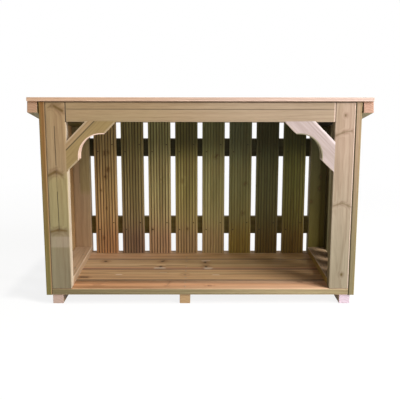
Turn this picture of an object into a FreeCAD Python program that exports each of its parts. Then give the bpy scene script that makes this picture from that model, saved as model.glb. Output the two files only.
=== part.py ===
import FreeCAD, Part
import math
import os

# Timber log store, in millimetres.
# X runs left to right, Y from the front to the back and Z up from the ground.
# The model is drawn with Y = 0 on the front faces of the posts and is moved to its
# bottom centre when it is written.

# Main sizes
floor_length = 1070.0
frame_depth = 525.0
opening_height = 600.0
roof_slope_degrees = 11.5

# Posts, lintel and brackets are cut from the same stock
post_width = 70.0
post_depth = 45.0
lintel_height = 70.0
post_ease = 4.0

# Corner brackets: a length of stock across the corner with a round cut-out
bracket_inner_leg = 70.0
bracket_stock_width = 70.0
bracket_thickness = 45.0
bracket_shoulder = 39.0
bracket_arc_radius = 82.0

# Bearers lie flat under the floor, roof battens of the same stock stand on edge
batten_wide_side = 38.0
batten_narrow_side = 34.0
batten_ease = 2.0
bearer_setback = 6.0
middle_bearer_offset = -56.0
right_bearer_overhang = 8.0

# Floor boards: full boards from the back, a narrower one at the front
floor_board_width = 138.0
floor_thickness = 24.0
floor_gap = 4.0
floor_ease = 5.0
front_board_least_width = 60.0

# Slats of the back and the sides
slat_width = 94.0
slat_thickness = 22.0
slat_ease = 3.0
slat_top_gap = 2.0
back_slat_gap_aim = 20.0
side_slat_gap_aim = 50.0

# Reeds: round grooves along the show face of each slat
reed_pitch = 12.0
reed_width = 5.5
reed_depth = 2.5
reed_margin = 10.0

# Rails
side_rail_thickness = 28.0
back_rail_height = 75.0
lower_back_rail_centre = 120.0
upper_back_rail_centre = 455.0
rail_ease = 3.0

# Roof boards, half lapped so that water runs over each joint to the back
roof_thickness = 13.0
roof_board_width_aim = 147.0
roof_lap = 10.0
roof_joint_gap = 2.0
roof_front_overhang = 10.0
roof_rear_overhang = 40.0
roof_batten_gap = 4.0
roof_batten_setback = 12.0

# Countersunk screws
screw_diameter = 4.0
screw_head_diameter = 8.0
screw_head_height = 3.5
floor_screw_length = 45.0
floor_screw_inset = 25.0
post_screw_length = 70.0
lintel_screw_length = 110.0
lintel_screw_spread = 28.0
lintel_screw_setback = 30.0
bottom_rail_screw_length = 45.0
bottom_rail_screw_inset = 120.0
back_rail_screw_length = 110.0
roof_screw_length = 35.0
roof_screw_inset = 30.0
bracket_screw_length = 50.0
bracket_screw_from_tip = 24.0
bracket_screw_seat = 12.0
bracket_bore_diameter = 9.0

# Flat-headed nails
nail_diameter = 2.5
nail_head_diameter = 5.0
nail_head_height = 1.2
nail_length = 40.0
nail_stagger = 15.0

# Levels and faces that the pieces share
half_length = floor_length / 2
post_inner = half_length - post_width
slat_outer = half_length + slat_thickness
roof_half_width = slat_outer + roof_batten_gap + batten_narrow_side
rear_post_front = frame_depth - post_depth
back_rail_front = rear_post_front + slat_thickness
floor_bottom = batten_narrow_side
floor_top = floor_bottom + floor_thickness
lintel_bottom = floor_top + opening_height
roof_slope = math.radians(roof_slope_degrees)
roof_run = frame_depth + roof_front_overhang + roof_rear_overhang
roof_length = roof_run / math.cos(roof_slope)
batten_lean = batten_wide_side * math.sin(roof_slope) - roof_batten_setback * math.cos(roof_slope)
foremost_y = -roof_front_overhang - max(0, batten_lean)
rearmost_y = frame_depth + roof_rear_overhang + roof_thickness * math.sin(roof_slope)
middle_y = (foremost_y + rearmost_y) / 2
rail_middle_x = half_length - post_width / 2

# Most of a board's thickness that one rounded edge may take
widest_ease_share = 0.45

LEFT = -1
RIGHT = 1
SIDES = (("left", LEFT), ("right", RIGHT))
X_AXIS = FreeCAD.Vector(1, 0, 0)
Y_AXIS = FreeCAD.Vector(0, 1, 0)
Z_AXIS = FreeCAD.Vector(0, 0, 1)
ROOF_DOWN_SLOPE = FreeCAD.Vector(0, math.cos(roof_slope), -math.sin(roof_slope))
ROOF_NORMAL = FreeCAD.Vector(0, math.sin(roof_slope), math.cos(roof_slope))

pieces = {}
fasteners = {}


def roof_underside(y):
    """Height of the underside of the roof boards at a distance behind the post faces."""
    return lintel_bottom + lintel_height - y * math.tan(roof_slope)


def ordered(first, second):
    """The two values, the lower one first."""
    return (min(first, second), max(first, second))


def edges_along(shape, direction):
    """The straight edges of a shape that lie nearer to a direction than to square across it."""

    def runs_along(edge):
        return abs(edge.tangentAt(edge.FirstParameter).dot(direction)) > math.sqrt(0.5)

    return [edge for edge in shape.Edges if runs_along(edge)]


def timber(x_range, y_range, z_range, ease, grain):
    """A board with the four edges along its grain rounded."""
    low = FreeCAD.Vector(x_range[0], y_range[0], z_range[0])
    sizes = [span[1] - span[0] for span in (x_range, y_range, z_range)]
    box = Part.makeBox(sizes[0], sizes[1], sizes[2], low)
    across = [size for size, axis in zip(sizes, (X_AXIS, Y_AXIS, Z_AXIS)) if axis != grain]
    radius = min(ease, widest_ease_share * min(across))
    return box.makeFillet(radius, edges_along(box, grain))


def profile_along_x(points, x_range):
    """A prism along X with a section given as (y, z) points."""
    corners = [FreeCAD.Vector(x_range[0], y, z) for y, z in points]
    face = Part.Face(Part.makePolygon(corners + corners[:1]))
    return face.extrude(X_AXIS * (x_range[1] - x_range[0]))


def cut_under_roof(shape, clearance):
    """The part of a shape that lies below the roof boards by a clearance."""
    box = shape.BoundBox
    margin = slat_width
    front = box.YMin - margin
    back = box.YMax + margin
    drop = clearance / math.cos(roof_slope)
    top = max(box.ZMax, roof_underside(front)) + margin
    above = profile_along_x(
        [
            (front, roof_underside(front) - drop),
            (back, roof_underside(back) - drop),
            (back, top),
            (front, top),
        ],
        (box.XMin - margin, box.XMax + margin),
    )
    return shape.cut(above)


def on_roof(x, down_slope, height):
    """A point in the roof's own plane, from the front edge of its underside."""
    start = FreeCAD.Vector(x, -roof_front_overhang, roof_underside(-roof_front_overhang))
    return start + ROOF_DOWN_SLOPE * down_slope + ROOF_NORMAL * height


def roof_prism(points, x_range):
    """A prism along X with a section given as (down slope, height) points on the roof."""
    corners = [on_roof(x_range[0], down_slope, height) for down_slope, height in points]
    face = Part.Face(Part.makePolygon(corners + corners[:1]))
    return face.extrude(X_AXIS * (x_range[1] - x_range[0]))


def reed_centres():
    """Distances of the reeds from the middle of a slat."""
    count = int((slat_width - 2 * reed_margin) / reed_pitch) + 1
    return [(index - (count - 1) / 2) * reed_pitch for index in range(count)]


def nail_offset():
    """Distance of a nail from the middle of a slat, on the last land between two reeds."""
    return reed_centres()[-1] - reed_pitch / 2


def reeded_slat(length):
    """An upright slat, centred on X, with its reeded face on Y = 0 and its foot on Z = 0."""
    half = slat_width / 2
    back = slat_thickness
    ease = min(slat_ease, widest_ease_share * slat_thickness)
    bulge = ease * (1 - math.sqrt(0.5))
    edges = []
    pen = FreeCAD.Vector(-half + ease, 0, 0)
    start = pen
    for centre in reed_centres():
        rim = FreeCAD.Vector(centre - reed_width / 2, 0, 0)
        bed = FreeCAD.Vector(centre, reed_depth, 0)
        edges.append(Part.LineSegment(pen, rim).toShape())
        pen = FreeCAD.Vector(centre + reed_width / 2, 0, 0)
        edges.append(Part.Arc(rim, bed, pen).toShape())
    corners = [
        ((half - ease, 0), (half - bulge, bulge), (half, ease)),
        ((half, back - ease), (half - bulge, back - bulge), (half - ease, back)),
        ((-half + ease, back), (-half + bulge, back - bulge), (-half, back - ease)),
        ((-half, ease), (-half + bulge, bulge), (start.x, start.y)),
    ]
    for corner in corners:
        first, middle, last = [FreeCAD.Vector(x, y, 0) for x, y in corner]
        edges.append(Part.LineSegment(pen, first).toShape())
        edges.append(Part.Arc(first, middle, last).toShape())
        pen = last
    section = Part.Face(Part.Wire(edges))
    return section.extrude(Z_AXIS * length)


def pointing(shape, head, direction):
    """A fastener drawn down from the origin, moved to its head point and turned to its direction."""
    placed = shape.copy()
    placed.Placement = FreeCAD.Placement(head, FreeCAD.Rotation(Z_AXIS * -1, direction))
    return placed


def countersunk_screw(length):
    """A screw with its flat head at the origin, pointing down."""
    head = Part.makeCone(
        screw_diameter / 2, screw_head_diameter / 2, screw_head_height, Z_AXIS * -screw_head_height
    )
    shank = Part.makeCylinder(screw_diameter / 2, length - screw_head_height, Z_AXIS * -length)
    return head.fuse(shank).removeSplitter()


def pan_screw(length):
    """A screw with a flat-bottomed head above the origin, pointing down."""
    head = Part.makeCylinder(screw_head_diameter / 2, screw_head_height)
    shank = Part.makeCylinder(screw_diameter / 2, length, Z_AXIS * -length)
    return head.fuse(shank).removeSplitter()


def flat_nail(length):
    """A nail with its flat head at the origin, pointing down."""
    head = Part.makeCylinder(nail_head_diameter / 2, nail_head_height, Z_AXIS * -nail_head_height)
    shank = Part.makeCylinder(nail_diameter / 2, length - nail_head_height, Z_AXIS * -length)
    return head.fuse(shank).removeSplitter()


def bearer_centres():
    """X of the middle of the left, middle and right bearers; the right one stands out past the floor."""
    outer = half_length - batten_wide_side / 2
    return (("left", -outer), ("middle", middle_bearer_offset), ("right", outer + right_bearer_overhang))


def floor_board_spans():
    """Front and back edge of each floor board, front board first."""
    pitch = floor_board_width + floor_gap
    full_boards = int((frame_depth - front_board_least_width) / pitch)
    spans = [(0.0, frame_depth - full_boards * pitch)]
    for index in range(full_boards):
        front = frame_depth - (full_boards - index) * pitch + floor_gap
        spans.append((front, front + floor_board_width))
    return spans


def back_slat_centres():
    """X of the middle of each back slat, evenly spaced between the rear posts."""
    clear = 2 * post_inner
    count = round((clear - back_slat_gap_aim) / (slat_width + back_slat_gap_aim))
    gap = (clear - count * slat_width) / (count + 1)
    return [-post_inner + gap + slat_width / 2 + index * (slat_width + gap) for index in range(count)]


def side_slat_centres():
    """Y of the middle of each side slat, the outer two level with the front and the back."""
    count = round((frame_depth + side_slat_gap_aim) / (slat_width + side_slat_gap_aim))
    pitch = (frame_depth - slat_width) / (count - 1)
    return [slat_width / 2 + index * pitch for index in range(count)]


def back_rail_centres():
    """Height of the middle of the lower and upper back rails."""
    return (("lower", floor_top + lower_back_rail_centre), ("upper", floor_top + upper_back_rail_centre))


def roof_board_spans():
    """Start and end of each roof board down the slope, front board first."""
    count = max(2, round(roof_length / roof_board_width_aim))
    cover = roof_length / count
    return [(index * cover, (index + 1) * cover) for index in range(count)]


def make_base():
    """Bearers and floor boards."""
    for name, centre in bearer_centres():
        half = batten_wide_side / 2
        across = (centre - half, centre + half)
        pieces["bearer_" + name] = timber(
            across, (bearer_setback, frame_depth), (0, floor_bottom), batten_ease, Y_AXIS
        )
    for number, span in enumerate(floor_board_spans(), 1):
        pieces["floor_board_%d" % number] = timber(
            (-half_length, half_length), span, (floor_bottom, floor_top), floor_ease, X_AXIS
        )


def make_frame():
    """Posts, lintel and the rails of the sides."""
    top = roof_underside(0) + slat_width
    for name, side in SIDES:
        across = ordered(side * post_inner, side * half_length)
        front = timber(across, (0, post_depth), (floor_top, top), post_ease, Z_AXIS)
        rear = timber(across, (rear_post_front, frame_depth), (floor_top, top), post_ease, Z_AXIS)
        pieces["front_post_" + name] = cut_under_roof(front, 0)
        pieces["rear_post_" + name] = cut_under_roof(rear, 0)
        pieces["side_bottom_rail_" + name] = timber(
            across,
            (post_depth, rear_post_front),
            (floor_top, floor_top + side_rail_thickness),
            rail_ease,
            Y_AXIS,
        )
        drop = side_rail_thickness / math.cos(roof_slope)
        pieces["side_top_rail_" + name] = profile_along_x(
            [
                (post_depth, roof_underside(post_depth) - drop),
                (rear_post_front, roof_underside(rear_post_front) - drop),
                (rear_post_front, roof_underside(rear_post_front)),
                (post_depth, roof_underside(post_depth)),
            ],
            across,
        )
    lintel = timber((-post_inner, post_inner), (0, post_depth), (lintel_bottom, top), post_ease, X_AXIS)
    pieces["lintel"] = cut_under_roof(lintel, 0)


def bracket_outer_leg():
    """Length of a bracket's foot along the post, and along the lintel, measured from the corner."""
    return bracket_inner_leg + bracket_stock_width * math.sqrt(2)


def make_bracket(side):
    """A corner bracket between a front post and the lintel, with a round cut-out below."""
    outer_leg = bracket_outer_leg()
    legs = [(0, outer_leg), (0, bracket_inner_leg), (bracket_inner_leg, 0), (outer_leg, 0)]
    corners = [FreeCAD.Vector(side * (post_inner - across), 0, lintel_bottom - down) for across, down in legs]
    stock = Part.Face(Part.makePolygon(corners + corners[:1])).extrude(Y_AXIS * bracket_thickness)
    near = side * (post_inner - bracket_shoulder)
    left, right = ordered(near, near - side * outer_leg)
    top = lintel_bottom - bracket_shoulder
    low = FreeCAD.Vector(left, 0, top - outer_leg)
    hollow = Part.makeBox(right - left, bracket_thickness, outer_leg, low)
    turn = FreeCAD.Vector(near, bracket_thickness / 2, top)
    deep_edges = edges_along(hollow, Y_AXIS)
    round_edge = min(deep_edges, key=lambda edge: edge.CenterOfMass.distanceToPoint(turn))
    return stock.cut(hollow.makeFillet(bracket_arc_radius, [round_edge]))


def make_walls():
    """Slats of the back and the sides, and the two back rails."""
    tall = roof_underside(0) + slat_width
    for number, centre in enumerate(back_slat_centres(), 1):
        slat = reeded_slat(tall).translated(FreeCAD.Vector(centre, rear_post_front, floor_top))
        pieces["back_slat_%d" % number] = cut_under_roof(slat, slat_top_gap)
    for name, centre in back_rail_centres():
        pieces["back_rail_" + name] = timber(
            (-post_inner, post_inner),
            (back_rail_front, frame_depth),
            (centre - back_rail_height / 2, centre + back_rail_height / 2),
            rail_ease,
            X_AXIS,
        )
    for name, side in SIDES:
        for number, centre in enumerate(side_slat_centres(), 1):
            slat = reeded_slat(tall).rotated(FreeCAD.Vector(), Z_AXIS, side * 90)
            slat = slat.translated(FreeCAD.Vector(side * slat_outer, centre, floor_bottom))
            pieces["side_slat_%s_%d" % (name, number)] = cut_under_roof(slat, slat_top_gap)


def make_roof():
    """Lapped roof boards on two battens that stand outside the walls."""
    spans = roof_board_spans()
    half_thick = roof_thickness / 2
    for number, (start, end) in enumerate(spans, 1):
        first = number == 1
        last = number == len(spans)
        top_start = start if first else start + roof_lap + roof_joint_gap
        top_end = end if last else end + roof_lap
        bottom_start = start if first else start + roof_joint_gap
        outline = [
            (bottom_start, 0),
            (end, 0),
            (end, half_thick),
            (top_end, half_thick),
            (top_end, roof_thickness),
            (top_start, roof_thickness),
            (top_start, half_thick),
            (bottom_start, half_thick),
        ]
        outline = [point for index, point in enumerate(outline) if point != outline[index - 1]]
        pieces["roof_board_%d" % number] = roof_prism(outline, (-roof_half_width, roof_half_width))
    for name, side in SIDES:
        across = ordered(side * roof_half_width, side * (roof_half_width - batten_narrow_side))
        begin = roof_batten_setback
        finish = roof_length - roof_batten_setback
        outline = [(begin, -batten_wide_side), (finish, -batten_wide_side), (finish, 0), (begin, 0)]
        pieces["roof_batten_" + name] = roof_prism(outline, across)


def make_floor_fasteners():
    """Screws of the floor boards, the posts' feet and the bottom rails."""
    floor_screw = countersunk_screw(floor_screw_length)
    post_screw = countersunk_screw(post_screw_length)
    rail_screw = countersunk_screw(bottom_rail_screw_length)
    down = Z_AXIS * -1
    fasteners["floor_screws"] = [
        pointing(floor_screw, FreeCAD.Vector(centre, y, floor_top), down)
        for name, centre in bearer_centres()
        for front, back in floor_board_spans()
        for y in (front + floor_screw_inset, back - floor_screw_inset)
    ]
    beside_bearer = (post_inner + half_length - batten_wide_side) / 2
    fasteners["post_screws"] = [
        pointing(post_screw, FreeCAD.Vector(side * beside_bearer, y, floor_bottom), Z_AXIS)
        for name, side in SIDES
        for y in (post_depth / 2, frame_depth - post_depth / 2)
    ]
    rail_top = floor_top + side_rail_thickness
    fasteners["bottom_rail_screws"] = [
        pointing(rail_screw, FreeCAD.Vector(side * beside_bearer, y, rail_top), down)
        for name, side in SIDES
        for y in (post_depth + bottom_rail_screw_inset, rear_post_front - bottom_rail_screw_inset)
    ]


def make_frame_fasteners():
    """Screws through the posts into the lintel and the back rails, and those of the brackets."""
    lintel_screw = countersunk_screw(lintel_screw_length)
    back_rail_screw = countersunk_screw(back_rail_screw_length)
    bracket_screw = pan_screw(bracket_screw_length)
    lintel_middle = lintel_bottom + lintel_height / 2
    fasteners["lintel_screws"] = [
        pointing(lintel_screw, FreeCAD.Vector(side * half_length, lintel_screw_setback, z), X_AXIS * -side)
        for name, side in SIDES
        for z in (lintel_middle - lintel_screw_spread / 2, lintel_middle + lintel_screw_spread / 2)
    ]
    rail_middle_y = (back_rail_front + frame_depth) / 2
    fasteners["back_rail_screws"] = [
        pointing(back_rail_screw, FreeCAD.Vector(side * half_length, rail_middle_y, z), X_AXIS * -side)
        for name, side in SIDES
        for rail, z in back_rail_centres()
    ]
    along = bracket_outer_leg() - bracket_screw_from_tip
    middle = bracket_thickness / 2
    fasteners["bracket_screws"] = []
    for name, side in SIDES:
        under_lintel = FreeCAD.Vector(side * (post_inner - along), middle, lintel_bottom - bracket_screw_seat)
        beside_post = FreeCAD.Vector(side * (post_inner - bracket_screw_seat), middle, lintel_bottom - along)
        bracket = make_bracket(side)
        for seat, direction in ((under_lintel, Z_AXIS), (beside_post, X_AXIS * side)):
            bore = Part.makeCylinder(bracket_bore_diameter / 2, bracket_screw_from_tip * 2)
            bracket = bracket.cut(pointing(bore, seat, direction))
            fasteners["bracket_screws"].append(pointing(bracket_screw, seat, direction))
        pieces["corner_bracket_" + name] = bracket


def make_wall_fasteners():
    """Nails of the back and side slats."""
    nail = flat_nail(nail_length)
    offset = nail_offset()
    fasteners["back_slat_nails"] = [
        pointing(nail, FreeCAD.Vector(centre + shift, rear_post_front, z + rise), Y_AXIS)
        for centre in back_slat_centres()
        for shift, rise in ((-offset, -nail_stagger), (offset, nail_stagger))
        for rail, z in back_rail_centres()
    ]
    bottom = floor_top + side_rail_thickness / 2
    fasteners["side_slat_nails"] = [
        pointing(nail, FreeCAD.Vector(side * slat_outer, centre + shift, z), X_AXIS * -side)
        for name, side in SIDES
        for centre in side_slat_centres()
        for shift in (-offset, offset)
        for z in (bottom, roof_underside(centre + shift) - side_rail_thickness / 2)
    ]


def make_roof_fasteners():
    """Screws through the roof boards into the battens and the top rails."""
    screw = countersunk_screw(roof_screw_length)
    batten_middle = roof_half_width - batten_narrow_side / 2
    fasteners["roof_screws"] = []
    for name, side in SIDES:
        for start, end in roof_board_spans():
            spots = [
                (batten_middle, start + roof_screw_inset),
                (batten_middle, end - roof_screw_inset),
                (rail_middle_x, (start + end) / 2),
            ]
            for x, down_slope in spots:
                head = on_roof(side * x, down_slope, roof_thickness)
                fasteners["roof_screws"].append(pointing(screw, head, ROOF_NORMAL * -1))


def drill(shape):
    """A piece with the holes of all fasteners that enter it."""
    entering = [
        fastener
        for group in fasteners.values()
        for fastener in group
        if shape.BoundBox.intersect(fastener.BoundBox)
    ]
    return shape.cut(entering) if entering else shape


def write(name, shape):
    """Move a finished piece to the model's bottom centre and write it."""
    shape.translated(FreeCAD.Vector(0, -middle_y, 0)).exportStep("parts/%s.step" % name)


def main():
    """Build every piece, drill it and write it."""
    os.makedirs("parts", exist_ok=True)
    make_base()
    make_frame()
    make_walls()
    make_roof()
    make_floor_fasteners()
    make_frame_fasteners()
    make_wall_fasteners()
    make_roof_fasteners()
    for name, shape in pieces.items():
        write(name, drill(shape))
    for name, group in fasteners.items():
        write(name, Part.makeCompound(group))


main()
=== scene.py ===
import logging
import math
from abc import ABC, abstractmethod
from dataclasses import dataclass
from enum import Enum
from functools import cached_property
from typing import Any, Callable, ClassVar, Optional, Sequence, Union

import bmesh
import bpy
from mathutils import Matrix, Vector


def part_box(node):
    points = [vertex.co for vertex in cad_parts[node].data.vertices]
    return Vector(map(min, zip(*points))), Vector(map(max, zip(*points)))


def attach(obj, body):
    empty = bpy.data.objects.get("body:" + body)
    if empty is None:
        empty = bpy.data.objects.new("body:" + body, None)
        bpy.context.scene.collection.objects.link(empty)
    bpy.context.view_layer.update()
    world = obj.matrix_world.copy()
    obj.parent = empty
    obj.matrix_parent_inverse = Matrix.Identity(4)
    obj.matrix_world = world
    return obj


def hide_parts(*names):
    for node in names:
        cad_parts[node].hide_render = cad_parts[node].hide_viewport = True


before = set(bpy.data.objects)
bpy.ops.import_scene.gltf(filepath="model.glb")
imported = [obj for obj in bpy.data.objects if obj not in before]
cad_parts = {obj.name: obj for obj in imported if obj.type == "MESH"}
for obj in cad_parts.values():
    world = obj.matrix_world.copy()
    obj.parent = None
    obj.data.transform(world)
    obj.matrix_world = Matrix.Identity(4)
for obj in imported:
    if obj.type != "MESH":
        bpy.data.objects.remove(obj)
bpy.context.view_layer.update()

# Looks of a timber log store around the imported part. Sizes are in metres, +Z is up and the front is -Y.

log = logging.getLogger("log_store")

BODY = "root"
SLOPE = math.radians(11.5)
FALL = math.tan(SLOPE)
RAIL_THICKNESS = 0.028
SIDES = {"left": -1, "right": 1}
FLOOR_BOARDS = 4
BACK_SLATS = 8
SIDE_SLATS = 4
BACK_RAILS = ("back_rail_lower", "back_rail_upper")
UP = Vector((0, 0, 1))
QUARTER_TURN = math.pi / 2

Colour = tuple[float, float, float, float]
Point = tuple[float, float]
Spot = tuple[Vector, Vector]
Number = Union[float, "Wire"]
Key = Union[str, int]
Sockets = Optional[dict[Key, Any]]


def shade(red: int, green: int, blue: int) -> Colour:
    """Turn a colour as it is seen into the linear one that shaders take.

    Args:
        red: Red, from 0 to 255.
        green: Green, from 0 to 255.
        blue: Blue, from 0 to 255.

    Returns:
        The linear colour with full opacity.
    """

    def channel(step: int) -> float:
        """Straighten one channel."""
        value = step / 255
        return value / 12.92 if value <= 0.04045 else ((value + 0.055) / 1.055) ** 2.4

    return (channel(red), channel(green), channel(blue), 1.0)


WHITE = shade(255, 255, 255)
LATE_WOOD = shade(166, 130, 96)
SHADOW = shade(174, 163, 147)
# Colour of real cracks, also used as painted shade in the shade lines and the reed beds.
CRACK_AND_SHADE = shade(44, 34, 22)
# Pale colour of worn edges, also used as painted highlight on edges and beside knots.
WEAR_AND_HIGHLIGHT = shade(232, 214, 190)


def math_method(operation: str, reflected: bool = False) -> Callable[..., "Wire"]:
    """Make a method that adds a Math node.

    Args:
        operation: Blender's name of the operation.
        reflected: Whether the other term comes first.

    Returns:
        The method.
    """

    def method(wire: "Wire", *others: Number) -> "Wire":
        """Add the node and give its output."""
        return wire.sketch.value(operation, *(others + (wire,) if reflected else (wire,) + others))

    return method


class Wire:
    """A node's output, on which Python's operators add Math nodes."""

    __add__ = math_method("ADD")
    __radd__ = math_method("ADD", reflected=True)
    __sub__ = math_method("SUBTRACT")
    __rsub__ = math_method("SUBTRACT", reflected=True)
    __mul__ = math_method("MULTIPLY")
    __rmul__ = math_method("MULTIPLY", reflected=True)
    __truediv__ = math_method("DIVIDE")
    __rtruediv__ = math_method("DIVIDE", reflected=True)
    __lt__ = math_method("LESS_THAN")
    __gt__ = math_method("GREATER_THAN")
    __abs__ = math_method("ABSOLUTE")
    root = math_method("SQRT")
    floor = math_method("FLOOR")
    part = math_method("FRACT")
    sine = math_method("SINE")
    cosine = math_method("COSINE")
    largest = math_method("MAXIMUM")
    smallest = math_method("MINIMUM")

    def __init__(self, sketch: "NodeSketch", socket: bpy.types.NodeSocket) -> None:
        """Keep the tree and the socket."""
        self.sketch = sketch
        self.socket = socket

    def smooth(self, low: float, high: float) -> "Wire":
        """Rise gently from zero at the low value to one at the high value."""
        sockets = {"Value": self, "From Min": low, "From Max": high}
        return self.sketch.node("ShaderNodeMapRange", sockets, interpolation_type="SMOOTHSTEP")

    def other(self, output: Key) -> "Wire":
        """Give another output of the same node."""
        return Wire(self.sketch, self.socket.node.outputs[output])


class NodeSketch:
    """A node tree that is written as expressions."""

    def __init__(self, tree: bpy.types.NodeTree) -> None:
        """Keep the tree that the nodes go into."""
        self.tree = tree

    def add(self, kind: str, sockets: Sockets = None, **settings: Any) -> bpy.types.Node:
        """Add one node.

        Args:
            kind: Blender's name of the node's type.
            sockets: Values, wires or lists of wires of its inputs, by name or number.
            **settings: Properties of the node, which are set first.

        Returns:
            The node.
        """
        made = self.tree.nodes.new(kind)
        for name, value in settings.items():
            setattr(made, name, value)
        for key, value in (sockets or {}).items():
            for one in value if isinstance(value, list) else [value]:
                if isinstance(one, Wire):
                    self.tree.links.new(one.socket, made.inputs[key])
                else:
                    made.inputs[key].default_value = one
        return made

    def node(self, kind: str, sockets: Sockets = None, output: Key = 0, **settings: Any) -> Wire:
        """Add one node and give one of its outputs."""
        return Wire(self, self.add(kind, sockets, **settings).outputs[output])

    def value(self, operation: str, *terms: Number) -> Wire:
        """Add a Math node on the given terms."""
        return self.node("ShaderNodeMath", dict(enumerate(terms)), operation=operation)

    def joined(self, x: Number = 0.0, y: Number = 0.0, z: Number = 0.0) -> Wire:
        """Make a vector of three values."""
        return self.node("ShaderNodeCombineXYZ", {0: x, 1: y, 2: z})

    def split(self, place: Wire) -> tuple[Wire, Wire, Wire]:
        """Take a vector apart."""
        first = self.node("ShaderNodeSeparateXYZ", {0: place})
        return first, first.other(1), first.other(2)

    def seen(self) -> Wire:
        """Give places as the piece's mesh has them."""
        return self.node("ShaderNodeTexCoord", output="Object")

    def mix(self, share: Number, first: Any, second: Any, blend: str = "MIX") -> Wire:
        """Blend a share of the second colour into the first."""
        sockets = {0: share, 6: first, 7: second}
        return self.node("ShaderNodeMix", sockets, 2, data_type="RGBA", blend_type=blend)

    def noise(self, place: Wire, waves: Sequence[float], seed: float, detail: float) -> Wire:
        """Wander smoothly about zero, by up to about a half each way.

        Args:
            place: The place that the noise follows.
            waves: How many waves fit in a metre along each axis.
            seed: Number that tells one noise from another.
            detail: How many finer waves are added.

        Returns:
            The noise.
        """
        scaled = self.node("ShaderNodeVectorMath", {0: place, 1: waves}, operation="MULTIPLY")
        sockets = {"Vector": scaled, "W": seed, "Scale": 1.0, "Detail": detail}
        return self.node("ShaderNodeTexNoise", sockets, noise_dimensions="4D") - 0.5

    def surface(self, strength: float, distance: float, height: Wire, sockets: dict[str, Any]) -> None:
        """End a material's tree in a shader with a bump.

        Args:
            strength: The bump's strength.
            distance: The bump's depth.
            height: The relief.
            sockets: The shader's other sockets.
        """
        relief = {"Strength": strength, "Distance": distance, "Height": height}
        shader = {**sockets, "Normal": self.node("ShaderNodeBump", relief)}
        self.add("ShaderNodeOutputMaterial", {"Surface": self.node("ShaderNodeBsdfPrincipled", shader)})


def fresh(owner: Union[bpy.types.Material, bpy.types.World]) -> NodeSketch:
    """Give a material or a world an empty tree.

    Args:
        owner: The material or the world.

    Returns:
        The sketch of its tree.
    """
    owner.use_nodes = True
    owner.node_tree.nodes.clear()
    return NodeSketch(owner.node_tree)


def middle(node: str) -> Vector:
    """Give the middle of a node's box."""
    low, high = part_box(node)
    return (low + high) / 2


def side_face(node: str, side: int) -> float:
    """Give how far a node reaches to the left, -1, or to the right, 1."""
    low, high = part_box(node)
    return high.x if side > 0 else low.x


class Slot(Enum):
    """The record's material slots."""

    FRAME = "frame_timber"
    FLOOR = "floor_timber"
    SLAT = "slat_timber"
    ROOF = "roof_timber"
    BATTEN = "batten_timber"
    STEEL = "plated_steel"


class Axis(Enum):
    """A board's own axes: along its grain, across its width and through it towards the show face."""

    ALONG = 0
    ACROSS = 1
    THROUGH = 2


class Lay(Enum):
    """How a board lies: the way its grain runs, then the way its width runs."""

    LENGTHWISE = ((1, 0, 0), (0, 1, 0))
    RAIL = ((1, 0, 0), (0, 0, 1))
    UPRIGHT = ((0, 0, 1), (-1, 0, 0))
    LEFT_WALL = ((0, 0, 1), (0, 1, 0))
    RIGHT_WALL = ((0, 0, 1), (0, -1, 0))
    DEEP = ((0, 1, 0), (-1, 0, 0))
    RISING = ((1, 0, 1), (-1, 0, 1))
    FALLING = ((1, 0, -1), (1, 0, 1))
    FACING = ((0, -1, 0), (1, 0, 0))

    def place(self, centre: Vector, tilt: float = 0.0) -> Matrix:
        """Give the matrix from a board's own axes to the frame's.

        Args:
            centre: The board's middle.
            tilt: How far the board falls to the back, in radians.

        Returns:
            The matrix.
        """
        grain = Vector(self.value[0]).normalized()
        width = Vector(self.value[1]).normalized()
        turn = Matrix((grain, width, grain.cross(width))).transposed()
        return Matrix.Translation(centre) @ (Matrix.Rotation(-tilt, 3, "X") @ turn).to_4x4()


@dataclass(frozen=True)
class Blank:
    """Place and size of a piece of timber, along its grain, across and through it."""

    place: Matrix
    length: float
    width: float
    thickness: float

    @classmethod
    def of_node(cls, node: str, lay: Lay) -> "Blank":
        """Take the place and the size from a part of the frame.

        Args:
            node: The part's node.
            lay: How it lies.

        Returns:
            The blank.
        """
        low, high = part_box(node)
        place = lay.place((low + high) / 2)
        return cls(place, *(abs(place.to_3x3().col[axis.value].dot(high - low)) for axis in Axis))

    @property
    def halves(self) -> tuple[float, float, float]:
        """Give half of each size."""
        return self.length / 2, self.width / 2, self.thickness / 2

    @property
    def corners(self) -> list[Point]:
        """Give the section's corners about its middle, anticlockwise."""
        _, across, through = self.halves
        return [(-across, -through), (across, -through), (across, through), (-across, through)]


class Waves(Enum):
    """Noises of a board: waves in a metre along its axes, step of the seed and number of finer waves."""

    DRIFT = ((1.8, 7.0, 7.0), 0.0, 2.0)
    BEND = ((1.1, 5.0, 5.0), 1.0, 2.0)
    WOBBLE = ((7.0, 60.0, 60.0), 2.0, 2.0)
    STREAK = ((2.2, 70.0, 70.0), 3.0, 3.0)
    FIBRE = ((22.0, 700.0, 700.0), 5.0, 2.0)
    PATCH = ((4.0, 14.0, 14.0), 9.0, 3.0)


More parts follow.
